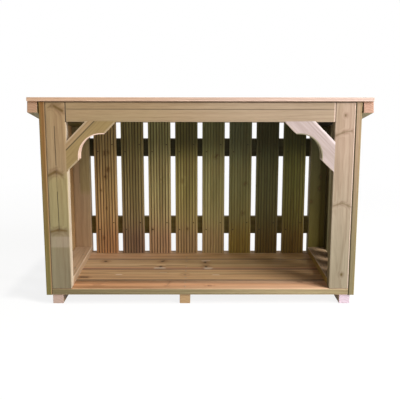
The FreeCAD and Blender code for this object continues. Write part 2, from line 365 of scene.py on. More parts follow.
class Grain:
    """A board's own axes and noises in the tree of its material."""

    SEED_STEP = 0.013

    def __init__(self, sketch: NodeSketch, blank: Blank, name: str) -> None:
        """Lay the axes from the board's middle.

        Args:
            sketch: The material's tree.
            blank: The board's place and size.
            name: The board's name, which seeds its noises.
        """
        self.sketch = sketch
        self.blank = blank
        self.seed = sum(ord(letter) * place for place, letter in enumerate(name, 1)) * self.SEED_STEP
        middle_and_turn = {"Location": blank.place.to_translation(), "Rotation": blank.place.to_euler("XYZ")}
        sockets = {"Vector": sketch.seen(), **middle_and_turn}
        self.local = sketch.node("ShaderNodeMapping", sockets, vector_type="TEXTURE")
        self.along, self.across, self.through = self.axes = sketch.split(self.local)
        self.drift = self.noise(Waves.DRIFT)
        self.streaks = self.noise(Waves.STREAK)
        self.fibres = self.noise(Waves.FIBRE)
        self.patches = self.noise(Waves.PATCH)

    def noise(self, waves: Waves) -> Wire:
        """Add one of the board's noises."""
        counts, step, detail = waves.value
        return self.sketch.noise(self.local, counts, self.seed + step, detail)

    def distance(self, start: Point, end: Point) -> Wire:
        """Measure how far a place is from a line on the show face.

        Args:
            start: The line's start, along and across the board.
            end: Its end.

        Returns:
            The distance.
        """
        run, rise = end[0] - start[0], end[1] - start[1]
        square = run * run + rise * rise
        ahead, aside = self.along - start[0], self.across - start[1]
        if square:
            share = (ahead * (run / square) + aside * (rise / square)).largest(0.0).smallest(1.0)
            ahead, aside = ahead - share * run, aside - share * rise
        return (ahead * ahead + aside * aside).root()

    def near(self, axis: Axis, fade: Point, side: int = 0) -> Wire:
        """Rise from zero to one towards the board's faces.

        Args:
            axis: The axis that the faces lie across.
            fade: How deep under a face the rise begins and ends.
            side: -1 or 1 for one of the two faces, 0 for both.

        Returns:
            The rise.
        """
        place, half = self.axes[axis.value], self.blank.halves[axis.value]
        outward = place * side if side else abs(place)
        return outward.smooth(half - fade[0], half - fade[1])


class Mark(ABC):
    """Something that lies over the wood's colour on part of a board."""

    tone: Colour

    SKIN: ClassVar[Point] = (0.008, 0.006)

    @abstractmethod
    def cover(self, grain: Grain) -> Wire:
        """Find how much of the mark shows."""

    def tint(self, grain: Grain, colour: Wire) -> Wire:
        """Lay the mark over the wood's colour."""
        return grain.sketch.mix(self.cover(grain), colour, self.tone)


@dataclass(frozen=True)
class Check(Mark):
    """A drying crack in the show face.

    Attributes:
        start: One end, along and across the board.
        end: The other end.
        width: Its width at the face.
        depth: Its depth.
        dark: How much of its colour shows.
        tone: Its colour.
    """

    start: Point
    end: Point
    width: float = 0.0012
    depth: float = 0.005
    dark: float = 0.7
    tone: Colour = CRACK_AND_SHADE

    REACH: ClassVar[Point] = (0.012, 0.006)
    CORE: ClassVar[float] = 0.2
    LEVEL: ClassVar[float] = 1e-6

    def cover(self, grain: Grain) -> Wire:
        """Find the crack.

        Args:
            grain: The board's axes and noises.

        Returns:
            How much of it shows.
        """
        distance = grain.distance(self.start, self.end) + grain.streaks * self.width
        line = 1 - distance.smooth(self.CORE * self.width, self.width)
        return line * grain.near(Axis.THROUGH, self.REACH, 1) * self.dark

    def cut(self, points: list[Point], along: float) -> list[Point]:
        """Cut the crack into the upper face of a section.

        Args:
            points: The section, across and through the board.
            along: The section's place along the board.

        Returns:
            The section with a notch, which has no depth beyond the crack's ends.
        """
        first, last = sorted((self.start, self.end))
        share = min(1.0, max(0.0, (along - first[0]) / (last[0] - first[0])))
        across = first[1] + share * (last[1] - first[1])
        top = max(through for _, through in points)
        bottom = top - self.depth * (1 - (2 * share - 1) ** 4)
        for index, (here, height) in enumerate(points):
            before, height_before = points[index - 1]
            flat = min(height, height_before) > top - self.LEVEL
            if flat and (here - across) * (before - across) < 0:
                lean = math.copysign(self.width / 2, here - before)
                notch = [(across - lean, top), (across, bottom), (across + lean, top)]
                return points[:index] + notch + points[index:]
        raise ValueError("a crack lies outside its face")


@dataclass(frozen=True)
class ShadeLine(Mark):
    """A line of painted shade on one face of a board, beside the edge where it meets its neighbour.

    Attributes:
        edge: The axis across which the edge lies.
        edge_side: The edge's side on that axis, -1 or 1.
        face: The axis across which the face lies.
        face_side: The face's side on that axis, -1 or 1.
        width: The line's width.
        dark: How much of its colour shows.
        foot: Where it begins along the board, or None for the whole length.
        tone: Its colour.
    """

    edge: Axis
    edge_side: int
    face: Axis
    face_side: int
    width: float = 0.004
    dark: float = 0.85
    foot: Optional[float] = None
    tone: Colour = CRACK_AND_SHADE

    FULL: ClassVar[float] = 0.4
    FOOT_FADE: ClassVar[float] = 0.002

    def cover(self, grain: Grain) -> Wire:
        """Find the line.

        Args:
            grain: The board's axes and noises.

        Returns:
            How much of it shows.
        """
        beside = grain.near(self.edge, (self.width, self.FULL * self.width), self.edge_side)
        line = beside * grain.near(self.face, self.SKIN, self.face_side) * self.dark
        if self.foot is not None:
            line = line * grain.along.smooth(self.foot - self.FOOT_FADE, self.foot)
        return line


@dataclass(frozen=True)
class Band(Mark):
    """A strip of another colour between two places on one of a board's axes.

    Attributes:
        axis: The axis.
        start: Where the strip begins.
        end: Where it ends.
        tone: Its colour.
        share: How much of it shows.
        soft: How far its edges fade.
        foot: Where it begins along the board, or None for the whole length.
    """

    axis: Axis
    start: float
    end: float
    tone: Colour
    share: float = 0.6
    soft: float = 0.003
    foot: Optional[float] = None

    FOOT_FADE: ClassVar[float] = 0.02

    def cover(self, grain: Grain) -> Wire:
        """Find the strip.

        Args:
            grain: The board's axes and noises.

        Returns:
            How much of it shows.
        """
        place = grain.axes[self.axis.value] + grain.streaks * self.soft
        inside = place.smooth(self.start - self.soft, self.start + self.soft)
        inside = inside * (1 - place.smooth(self.end - self.soft, self.end + self.soft))
        if self.foot is not None:
            inside = inside * grain.along.smooth(self.foot - self.FOOT_FADE, self.foot + self.FOOT_FADE)
        return inside * self.share


@dataclass(frozen=True)
class Hollow(Mark):
    """A round cut-out across a board, with its own colour there: the open wood's colour, with painted light
    and shade on it.
    """

    centre: Point
    radius: float
    tone: Colour

    RIM: ClassVar[Point] = (0.0002, 0.0011)

    def cover(self, grain: Grain) -> Wire:
        """Find the open wood."""
        distance = grain.distance(self.centre, self.centre)
        return 1 - distance.smooth(self.radius + self.RIM[0], self.radius + self.RIM[1])


@dataclass(frozen=True)
class Reeds(Mark):
    """Painted shade in the beds of a reeded show face."""

    depth: float
    dark: float = 0.92
    tone: Colour = CRACK_AND_SHADE

    BED: ClassVar[Point] = (0.15, 1.0)
    FACE: ClassVar[Point] = (1.1, 1.4)

    def cover(self, grain: Grain) -> Wire:
        """Find the beds.

        Args:
            grain: The board's axes and noises.

        Returns:
            How much of the painted shade shows.
        """
        sunk = grain.blank.thickness / 2 - grain.through
        bed = sunk.smooth(self.BED[0] * self.depth, self.BED[1] * self.depth)
        face = 1 - sunk.smooth(self.FACE[0] * self.depth, self.FACE[1] * self.depth)
        return bed * face * (1 - grain.near(Axis.ACROSS, self.SKIN)) * self.dark


@dataclass(frozen=True)
class Knot:
    """A branch on the show face.

    Attributes:
        start: One end, along and across the board.
        end: The other end.
        radius: Its radius.
        depth: How much of its colour shows.
        pale: How much of a painted highlight shows beside it.
    """

    start: Point
    end: Point
    radius: float
    depth: float = 0.8
    pale: float = 0.0

    CORE: ClassVar[Point] = (0.1, 1.2)
    CORE_WANDER: ClassVar[float] = 0.9
    HALO: ClassVar[Point] = (0.8, 3.5)
    HALO_SHARE: ClassVar[float] = 0.4
    SPLASH: ClassVar[Point] = (1.0, 2.0)
    SPLASH_WANDER: ClassVar[float] = 6.0
    BEND: ClassVar[Point] = (0.0, 4.0)
    BEND_SHARE: ClassVar[float] = 0.9

    def _within(self, distance: Wire, fade: Point) -> Wire:
        """Fall from one to zero between two multiples of the radius."""
        return 1 - distance.smooth(fade[0] * self.radius, fade[1] * self.radius)

    def bend(self, distance: Wire) -> Wire:
        """Give how far the year rings are pushed aside round the branch."""
        return self._within(distance, self.BEND) * (self.BEND_SHARE * self.radius)

    def tint(self, grain: Grain, distance: Wire, colour: Wire, tone: Colour) -> Wire:
        """Colour the branch, the dark wood round it and the painted highlight beside it.

        Args:
            grain: The board's axes and noises.
            distance: How far a place is from the branch.
            colour: The wood's colour.
            tone: The branch's own colour.

        Returns:
            The new colour.
        """
        mix = grain.sketch.mix
        core = self._within(distance + grain.patches * (self.CORE_WANDER * self.radius), self.CORE)
        halo = self._within(distance, self.HALO)
        colour = mix(halo * (self.HALO_SHARE * self.depth), colour, LATE_WOOD, "MULTIPLY")
        # The pale splash is a painted highlight.
        if self.pale:
            wander = grain.streaks * (self.SPLASH_WANDER * self.radius)
            splash = self._within(distance + wander, self.SPLASH)
            colour = mix(splash * self.pale, colour, WEAR_AND_HIGHLIGHT)
        return mix(core * self.depth, colour, tone)


@dataclass(frozen=True)
class Timber:
    """Finish of treated softwood, drawn as a solid so that faces, edges and ends agree.

    Attributes:
        head: Colour of the pale wood at the end that the grain runs to.
        foot: Colour of the pale wood at the other end.
        flanks: Colours of the narrow faces at the head and the foot, or None where they match the rest.
        end: Colour of the cut ends, or None where they match the rest.
        ring: Distance between year rings.
        pith: Place of the heart, across and through the board from its middle.
        contrast: How dark the late wood of each ring is.
        streak: How far the colour wanders from streak to streak.
        cast: Colour of the treatment's cast.
        cast_share: How much of the cast shows.
        arris: How pale the rounded long edges are, from wear and painted highlight.
        knot_tone: Colour of the knots.
        knots: Branches on the show face.
        bands: Strips of another colour.
        checks: Drying cracks in the show face.
        reeds: Painted shade in the reeds.
        hollows: Round cut-outs.
        shade_lines: Lines of painted shade beside neighbours.
    """

    head: Colour
    foot: Colour
    flanks: Optional[tuple[Colour, Colour]] = None
    end: Optional[Colour] = None
    ring: float = 0.0055
    pith: Point = (0.012, -0.075)
    contrast: float = 0.2
    streak: float = 0.3
    cast: Colour = shade(142, 138, 98)
    cast_share: float = 0.2
    arris: float = 0.2
    knot_tone: Colour = shade(104, 70, 38)
    knots: tuple[Knot, ...] = ()
    bands: tuple[Band, ...] = ()
    checks: tuple[Check, ...] = ()
    reeds: tuple[Reeds, ...] = ()
    hollows: tuple[Hollow, ...] = ()
    shade_lines: tuple[ShadeLine, ...] = ()

    RING_DRIFT: ClassVar[float] = 0.03
    RING_WOBBLE: ClassVar[float] = 0.7
    LATE_RISE: ClassVar[Point] = (0.35, 0.85)
    LATE_END: ClassVar[Point] = (0.9, 1.0)
    TONE_WANDER: ClassVar[float] = 0.5
    TONE_REACH: ClassVar[float] = 0.45
    STREAKS: ClassVar[Point] = (-0.12, 0.22)
    FIBRES: ClassVar[Point] = (-0.1, 0.25)
    PATCHES: ClassVar[Point] = (-0.05, 0.3)
    FIBRE_SHARE: ClassVar[float] = 0.3
    END_RINGS: ClassVar[float] = 0.5
    END_SKIN: ClassVar[Point] = (0.003, 0.0005)
    EDGE_ROUNDING: ClassVar[Point] = (0.003, 0.001)
    ARRIS_REACH: ClassVar[Point] = (0.004, 0.0)
    RELIEF: ClassVar[dict[str, float]] = {"fibres": 0.5, "late": 0.35, "streaks": 0.5}
    ROUGHNESS: ClassVar[dict[str, float]] = {"even": 0.62, "fibres": 0.2, "late": 0.08}
    GLOSS: ClassVar[float] = 0.3
    BUMP_STRENGTH: ClassVar[float] = 0.5
    BUMP_DEPTH: ClassVar[float] = 0.0007

    def material(self, name: str, blank: Blank) -> bpy.types.Material:
        """Build the material of one board.

        Args:
            name: Name of the board.
            blank: Its place and size.

        Returns:
            The material.
        """
        made = bpy.data.materials.new(name + "_finish")
        grain = Grain(fresh(made), blank, name)
        traces = [grain.distance(knot.start, knot.end) for knot in self.knots]
        late = self._late_wood(grain, traces)
        colour = self._figure(grain, late, self._tone(grain))
        for knot, distance in zip(self.knots, traces):
            colour = knot.tint(grain, distance, colour, self.knot_tone)
        for mark in self.checks + self.reeds:
            colour = mark.tint(grain, colour)
        colour = self._edges(grain, late, colour)
        # Lay the cut-outs' colours, then the painted shade beside neighbours.
        for mark in self.hollows + self.shade_lines:
            colour = mark.tint(grain, colour)
        height = grain.fibres * self.RELIEF["fibres"] + late * self.RELIEF["late"]
        height = height + grain.streaks * self.RELIEF["streaks"]
        roughness = self.ROUGHNESS["even"] + grain.fibres * self.ROUGHNESS["fibres"]
        roughness = roughness + late * self.ROUGHNESS["late"]
        sockets = {"Base Color": colour, "Roughness": roughness, "Specular IOR Level": self.GLOSS}
        grain.sketch.surface(self.BUMP_STRENGTH, self.BUMP_DEPTH, height, sockets)
        return made

    def _late_wood(self, grain: Grain, traces: list[Wire]) -> Wire:
        """Draw the year rings, which flow round the knots.

        Args:
            grain: The board's axes and noises.
            traces: Distance from each knot.

        Returns:
            The late wood's share.
        """
        sideways = grain.across - self.pith[0] + grain.drift * self.RING_DRIFT
        deep = grain.through - self.pith[1] + grain.noise(Waves.BEND) * self.RING_DRIFT
        radius = (sideways * sideways + deep * deep).root()
        for knot, distance in zip(self.knots, traces):
            radius = radius + knot.bend(distance)
        turns = (radius / self.ring + grain.noise(Waves.WOBBLE) * self.RING_WOBBLE).part()
        return turns.smooth(*self.LATE_RISE) * (1 - turns.smooth(*self.LATE_END))

    def _tone(self, grain: Grain) -> Wire:
        """Colour the pale wood from foot to head, with its strips and narrow faces.

        Args:
            grain: The board's axes and noises.

        Returns:
            The colour.
        """
        mix, length = grain.sketch.mix, grain.blank.length
        reach = self.TONE_REACH * length
        rise = (grain.along + grain.drift * (self.TONE_WANDER * length)).smooth(-reach, reach)
        colour = mix(rise, self.foot, self.head)
        for band in self.bands:
            colour = band.tint(grain, colour)
        if self.flanks:
            rounding = grain.near(Axis.THROUGH, self.EDGE_ROUNDING, 1)
            flank = grain.near(Axis.ACROSS, self.END_SKIN) * (1 - rounding)
            colour = mix(flank, colour, mix(rise, self.flanks[1], self.flanks[0]))
        return colour

    def _figure(self, grain: Grain, late: Wire, colour: Wire) -> Wire:
        """Darken the wood by rings, streaks and fibres, and lay the treatment's cast over it.

        Args:
            grain: The board's axes and noises.
            late: The late wood's share.
            colour: The pale wood's colour.

        Returns:
            The new colour.
        """
        mix = grain.sketch.mix
        colour = mix(late * self.contrast, colour, LATE_WOOD, "MULTIPLY")
        colour = mix(grain.streaks.smooth(*self.STREAKS) * self.streak, colour, SHADOW, "MULTIPLY")
        colour = mix(grain.fibres.smooth(*self.FIBRES) * self.FIBRE_SHARE, colour, SHADOW, "MULTIPLY")
        return mix(grain.patches.smooth(*self.PATCHES) * self.cast_share, colour, self.cast)

    def _edges(self, grain: Grain, late: Wire, colour: Wire) -> Wire:
        """Make the long edges pale with wear and painted highlight, and colour the cut ends, where the rings
        show darker.

        Args:
            grain: The board's axes and noises.
            late: The late wood's share.
            colour: The wood's colour.

        Returns:
            The new colour.
        """
        mix, near = grain.sketch.mix, grain.near
        edge = near(Axis.ACROSS, self.ARRIS_REACH) * near(Axis.THROUGH, self.ARRIS_REACH)
        colour = mix(edge * self.arris, colour, WEAR_AND_HIGHLIGHT)
        if self.end:
            end = mix(late * self.END_RINGS, self.end, LATE_WOOD, "MULTIPLY")
            colour = mix(near(Axis.ALONG, self.END_SKIN), colour, end)
        return colour


@dataclass(frozen=True)
class Zinc:
    """Finish of zinc-plated steel, dulled by weather."""

    clean: Colour = shade(176, 172, 160)
    dull: Colour = shade(104, 98, 84)
    roughness: float = 0.42
    roughness_spread: float = 0.3
    metallic: float = 0.85
    bump_strength: float = 0.3
    bump_depth: float = 0.0001

    DULLING: ClassVar[Point] = (-0.2, 0.25)
    SPOTS: ClassVar[tuple[float, float, float]] = (300.0, 300.0, 300.0)
    SCUFFS: ClassVar[tuple[float, float, float]] = (1500.0, 1500.0, 1500.0)

    def material(self, name: str) -> bpy.types.Material:
        """Build the material of the fasteners.

        Args:
            name: The material's name.

        Returns:
            The material.
        """
        made = bpy.data.materials.new(name)
        sketch = fresh(made)
        seen = sketch.seen()
        spots = sketch.noise(seen, self.SPOTS, seed=4.0, detail=3.0)
        scuffs = sketch.noise(seen, self.SCUFFS, seed=8.0, detail=2.0)
        colour = sketch.mix(spots.smooth(*self.DULLING), self.clean, self.dull)
        roughness = self.roughness + spots * self.roughness_spread
        sockets = {"Base Color": colour, "Roughness": roughness, "Metallic": self.metallic}
        sketch.surface(self.bump_strength, self.bump_depth, scuffs, sockets)
        return made


LARGEST_ROUNDING = 0.45
LEAST_SPREAD = 0.5


def eased(corners: Sequence[Point], radius: float, steps: int = 4) -> list[Point]:
    """Round every corner of a closed outline.

    Args:
        corners: The outline's corners in order.
        radius: How far each corner is cut back.
        steps: How many edges each rounded corner has.

    Returns:
        The points of the rounded outline.
    """
    points = []
    for index, corner in enumerate(corners):
        here = Vector(corner)
        before = Vector(corners[index - 1]) - here
        after = Vector(corners[(index + 1) % len(corners)]) - here
        reach = min(radius, LARGEST_ROUNDING * before.length, LARGEST_ROUNDING * after.length)
        start = here + before.normalized() * reach
        end = here + after.normalized() * reach
        for share in (step / steps for step in range(steps + 1)):
            bend = start * (1 - share) ** 2 + here * (2 * share * (1 - share)) + end * share ** 2
            points.append((bend.x, bend.y))
    return points


def shrunk(points: Sequence[Point], inset: float) -> list[Point]:
    """Draw a closed outline in by an even distance.

    Args:
        points: The outline, anticlockwise.
        inset: The distance.

    Returns:
        The smaller outline.
    """
    drawn = []
    for index, point in enumerate(points):
        here = Vector(point)
        incoming = (here - Vector(points[index - 1])).normalized()
        outgoing = (Vector(points[(index + 1) % len(points)]) - here).normalized()
        inward = Vector((-incoming.y - outgoing.y, incoming.x + outgoing.x)).normalized()
        spread = max(LEAST_SPREAD, inward.dot(Vector((-outgoing.y, outgoing.x))))
        moved = here + inward * (inset / spread)
        drawn.append((moved.x, moved.y))
    return drawn


@dataclass
class Sweep:
    """A closed section drawn along its first axis, with softened ends and real drying cracks.

    Attributes:
        section: Outline across and through, anticlockwise.
        length: Length along the first axis.
        place: Matrix from the section's axes to the frame's.
        end_ease: How far the ends are rounded.
        station: Largest distance between rings of points.
        head_fall: How far the head end falls for each metre behind the show face.
    """

    section: list[Point]
    length: float
    place: Matrix
    end_ease: float = 0.0012
    station: float = 0.05
    head_fall: float = 0.0

    SOFT_FACE: ClassVar[float] = 0.004
    HALF_EASED: ClassVar[float] = 0.3

    @classmethod
    def board(cls, blank: Blank, ease: float, **options: float) -> "Sweep":
        """Shape a plain board with rounded long edges."""
        return cls(eased(blank.corners, ease), blank.length, blank.place, **options)

    def mesh(self, name: str, checks: Sequence[Check] = ()) -> bpy.types.Mesh:
        """Build the mesh.

        Args:
            name: The mesh's name.
            checks: Cracks in the show face.

        Returns:
            The closed mesh, with its place in its points.
        """
        shell = bmesh.new()
        rings = []
        for along, inset in self._stations():
            rings.append([shell.verts.new(point) for point in self._ring(along, inset, checks)])
        for near, far in zip(rings, rings[1:]):
            for index in range(len(near)):
                shell.faces.new((near[index - 1], near[index], far[index], far[index - 1]))
        shell.faces.new(rings[0])
        shell.faces.new(rings[-1])
        bmesh.ops.recalc_face_normals(shell, faces=shell.faces)
        for face in shell.faces:
            shortest = min(edge.calc_length() for edge in face.edges)
            face.smooth = shortest < self.SOFT_FACE and len(face.edges) == 4
        made = bpy.data.meshes.new(name)
        shell.to_mesh(made)
        shell.free()
        return made

    def _stations(self) -> list[Point]:
        """Plan the rings of points.

        Returns:
            Each ring's place along the sweep and how far it is drawn in.
        """
        half, ease, near_end = self.length / 2, self.end_ease, self.HALF_EASED * self.end_ease
        reach = half - ease
        count = max(2, math.ceil(self.length / self.station))
        body = [(-reach + 2 * reach * index / count, 0.0) for index in range(count + 1)]
        return [(-half, ease), (-half + near_end, near_end), *body, (half - near_end, near_end), (half, ease)]

    def _ring(self, along: float, inset: float, checks: Sequence[Check]) -> list[Vector]:
        """Draw one ring.

        Args:
            along: Its place along the sweep.
            inset: How far it is drawn in.
            checks: Cracks in the show face.

        Returns:
            The ring's points in the frame.
        """
        points = shrunk(self.section, inset) if inset else list(self.section)
        for check in checks:
            points = check.cut(points, along)
        show_face = max(through for _, through in self.section)
        fall = self.head_fall * (along / self.length + 0.5)
        return [self.place @ Vector((along + (up - show_face) * fall, across, up)) for across, up in points]


def placed(data: bpy.types.ID, name: str) -> bpy.types.Object:
    """Put a mesh, a lamp or a camera in the scene.

    Args:
        data: The mesh, the lamp or the camera.
        name: The object's name.

    Returns:
        The object.
    """
    made = bpy.data.objects.new(name, data)
    bpy.context.scene.collection.objects.link(made)
    return made


def discard(holder: bpy.types.Object) -> None:
    """Remove an object and its mesh.

    Args:
        holder: The object.
    """
    mesh = holder.data
    bpy.data.objects.remove(holder)
    bpy.data.meshes.remove(mesh)


def baked(holder: bpy.types.Object, name: str) -> bpy.types.Mesh:
    """Turn an object with modifiers into a plain mesh and remove the object.

    Args:
        holder: The object.
        name: The new mesh's name.

    Returns:
        The mesh.
    """
    evaluated = holder.evaluated_get(bpy.context.evaluated_depsgraph_get())
    made = bpy.data.meshes.new_from_object(evaluated)
    discard(holder)
    made.name = name
    return made


def show(node: str, suffix: str, slot: Slot, mesh: bpy.types.Mesh, material: bpy.types.Material) -> None:
    """Put a finished mesh in the scene in place of a node of the frame.

    Args:
        node: The node that it stands for.
        suffix: What is added to the node's name.
        slot: The record's material slot; not used.
        mesh: The mesh, in its place.
        material: The finish.
    """
    mesh.materials.clear()
    mesh.materials.append(material)
    piece = placed(mesh, node + suffix)
    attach(piece, BODY)
    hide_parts(node)
    log.info("%s: %d faces", piece.name, len(mesh.polygons))


def show_board(node: str, slot: Slot, blank: Blank, finish: Timber, sweep: Sweep) -> None:
    """Build and dress one board in place of a node."""
    show(node, "_wood", slot, sweep.mesh(node + "_wood", finish.checks), finish.material(node, blank))


class NodeTool:
    """A Geometry Nodes tree with named inputs, run on points and baked to a plain mesh."""

    def __init__(self, name: str, numbers: Sequence[str], vectors: Sequence[str] = ()) -> None:
        """Make the tree's ends.

        Args:
            name: The tree's name.
            numbers: Names of the inputs that are numbers.
            vectors: Names of the inputs that are vectors.
        """
        self.tree = bpy.data.node_groups.new(name, "GeometryNodeTree")
        self.sketch = NodeSketch(self.tree)
        kinds = {"Geometry": "NodeSocketGeometry", "Material": "NodeSocketMaterial"}
        kinds.update(dict.fromkeys(numbers, "NodeSocketFloat"))
        kinds.update(dict.fromkeys(vectors, "NodeSocketVector"))
        face = self.tree.interface
        self.names = {
            label: face.new_socket(label, in_out="INPUT", socket_type=kind).identifier
            for label, kind in kinds.items()
        }
        face.new_socket("Geometry", in_out="OUTPUT", socket_type="NodeSocketGeometry")
        self.start = self.sketch.add("NodeGroupInput")

    def given(self, label: str) -> Wire:
        """Give one of the tree's inputs."""
        return Wire(self.sketch, self.start.outputs[label])

    def moved(self, geometry: Wire, **changes: Any) -> Wire:
        """Move or turn geometry."""
        return self.sketch.node("GeometryNodeTransform", {"Geometry": geometry, **changes})

    def close(self, geometry: Wire) -> None:
        """End the tree with plain geometry that carries its material.

        Args:
            geometry: What the tree has drawn.
        """
        real = self.sketch.node("GeometryNodeRealizeInstances", {0: geometry})
        sockets = {"Geometry": real, "Material": self.given("Material")}
        self.sketch.add("NodeGroupOutput", {0: self.sketch.node("GeometryNodeSetMaterial", sockets)})

    def run(self, mesh: bpy.types.Mesh, values: dict[str, Any]) -> bpy.types.Mesh:
        """Run the tree on a mesh.

        Args:
            mesh: The mesh that goes in.
            values: The inputs' values.

        Returns:
            The baked mesh.
        """
        name = mesh.name
        holder = placed(mesh, name + "_holder")
        modifier = holder.modifiers.new("shape", "NODES")
        modifier.node_group = self.tree
        for label, value in values.items():
            modifier[self.names[label]] = value
        return baked(holder, name)


@dataclass
class Base:
    """Bearers under the floor and the floor boards, the front one first."""

    bearer_ease: float = 0.002
    floor_ease: float = 0.005
    heart_half_width: float = 0.012

    BEARER: ClassVar[Colour] = shade(150, 124, 92)
    BEARER_ENDS: ClassVar[dict[str, Colour]] = {
        "left": shade(196, 172, 159),
        "middle": shade(179, 149, 109),
        "right": shade(216, 198, 212),
    }
    FLOOR_KNOT: ClassVar[Colour] = shade(62, 44, 30)
    FRONT_EDGE: ClassVar[tuple[Colour, Colour]] = (shade(164, 147, 111), shade(126, 113, 79))
    FLOOR_KNOTS: ClassVar[dict[int, tuple[Knot, ...]]] = {
        1: (
            Knot((-0.123, -0.020), (-0.113, 0.033), 0.004, 0.3),
            Knot((0.030, -0.020), (0.030, -0.013), 0.006, 0.5),
            Knot((0.040, -0.019), (0.040, -0.014), 0.005, 0.4),
            Knot((-0.390, -0.008), (-0.370, -0.008), 0.007, 0.3),
            Knot((0.365, 0.031), (0.378, 0.026), 0.006, 0.6),
        ),
        2: (
            Knot((-0.455, -0.035), (-0.432, -0.035), 0.008, 0.9),
            Knot((-0.0585, -0.006), (-0.0585, 0.001), 0.008, 0.4),
            Knot((-0.318, -0.0026), (-0.309, -0.0026), 0.004, 0.0, 0.5),
            Knot((-0.155, 0.026), (-0.131, 0.026), 0.004, 0.0, 0.4),
            Knot((0.052, -0.0026), (0.070, -0.0026), 0.004, 0.0, 0.4),
        ),
        3: (
            Knot((-0.389, 0.034), (-0.389, 0.042), 0.009, 0.9),
            Knot((-0.157, 0.032), (-0.149, 0.046), 0.008, 0.9),
            Knot((-0.158, -0.044), (-0.158, -0.032), 0.008, 0.9),
            Knot((-0.172, -0.057), (-0.150, -0.057), 0.005, 0.0, 0.8),
            Knot((0.021, 0.017), (0.021, 0.031), 0.009, 0.9),
            Knot((0.013, 0.046), (0.036, 0.049), 0.004, 0.0, 0.6),
            Knot((0.024, -0.044), (0.024, -0.032), 0.009, 0.9),
            Knot((0.024, -0.061), (0.040, -0.061), 0.005, 0.0, 0.8),
        ),
    }

    def build(self) -> None:
        """Build every piece of the base."""
        for name, end in self.BEARER_ENDS.items():
            node = "bearer_" + name
            blank = Blank.of_node(node, Lay.DEEP)
            finish = Timber(self.BEARER, self.BEARER, end=end, pith=(0.004, 0.03))
            show_board(node, Slot.BATTEN, blank, finish, Sweep.board(blank, self.bearer_ease))
        self._floor()

    def _floor(self) -> None:
        """Build the floor boards."""
        boards = (
            (shade(214, 173, 140), shade(168, 126, 88), shade(214, 158, 116), 0.0),
            (shade(210, 170, 124), shade(213, 174, 130), shade(214, 184, 138), 0.02),
            (shade(196, 162, 112), shade(216, 182, 140), shade(206, 142, 112), -0.06),
            (shade(204, 168, 114), shade(226, 184, 142), shade(232, 199, 158), 0.03),
        )
        pale_streak = Band(Axis.ACROSS, -0.016, -0.002, shade(224, 204, 160), share=0.35, soft=0.006)
        # Painted shade in the gaps between the floor boards.
        joint_shadows = tuple(
            ShadeLine(Axis.ACROSS, side, Axis.THROUGH, 1, width=0.012, dark=0.5) for side in (-1, 1)
        )
        for number, (head, foot, heart, place) in enumerate(boards, 1):
            node = "floor_board_%d" % number
            blank = Blank.of_node(node, Lay.LENGTHWISE)
            front = number == 1
            reach = self.heart_half_width
            heart_band = Band(Axis.ACROSS, place - reach, place + reach, heart, soft=reach)
            finish = Timber(
                head,
                foot,
                flanks=self.FRONT_EDGE if front else None,
                ring=0.008,
                pith=(0.02 * (-1) ** number, -0.04),
                contrast=0.2 if front else 0.4,
                streak=0.55,
                cast_share=0.15,
                knot_tone=self.FLOOR_KNOT,
                knots=self.FLOOR_KNOTS.get(number, ()),
                bands=(heart_band, pale_streak) if number == 3 else (heart_band,),
                shade_lines=joint_shadows[1:] if front else joint_shadows,
            )
            show_board(node, Slot.FLOOR, blank, finish, Sweep.board(blank, self.floor_ease))


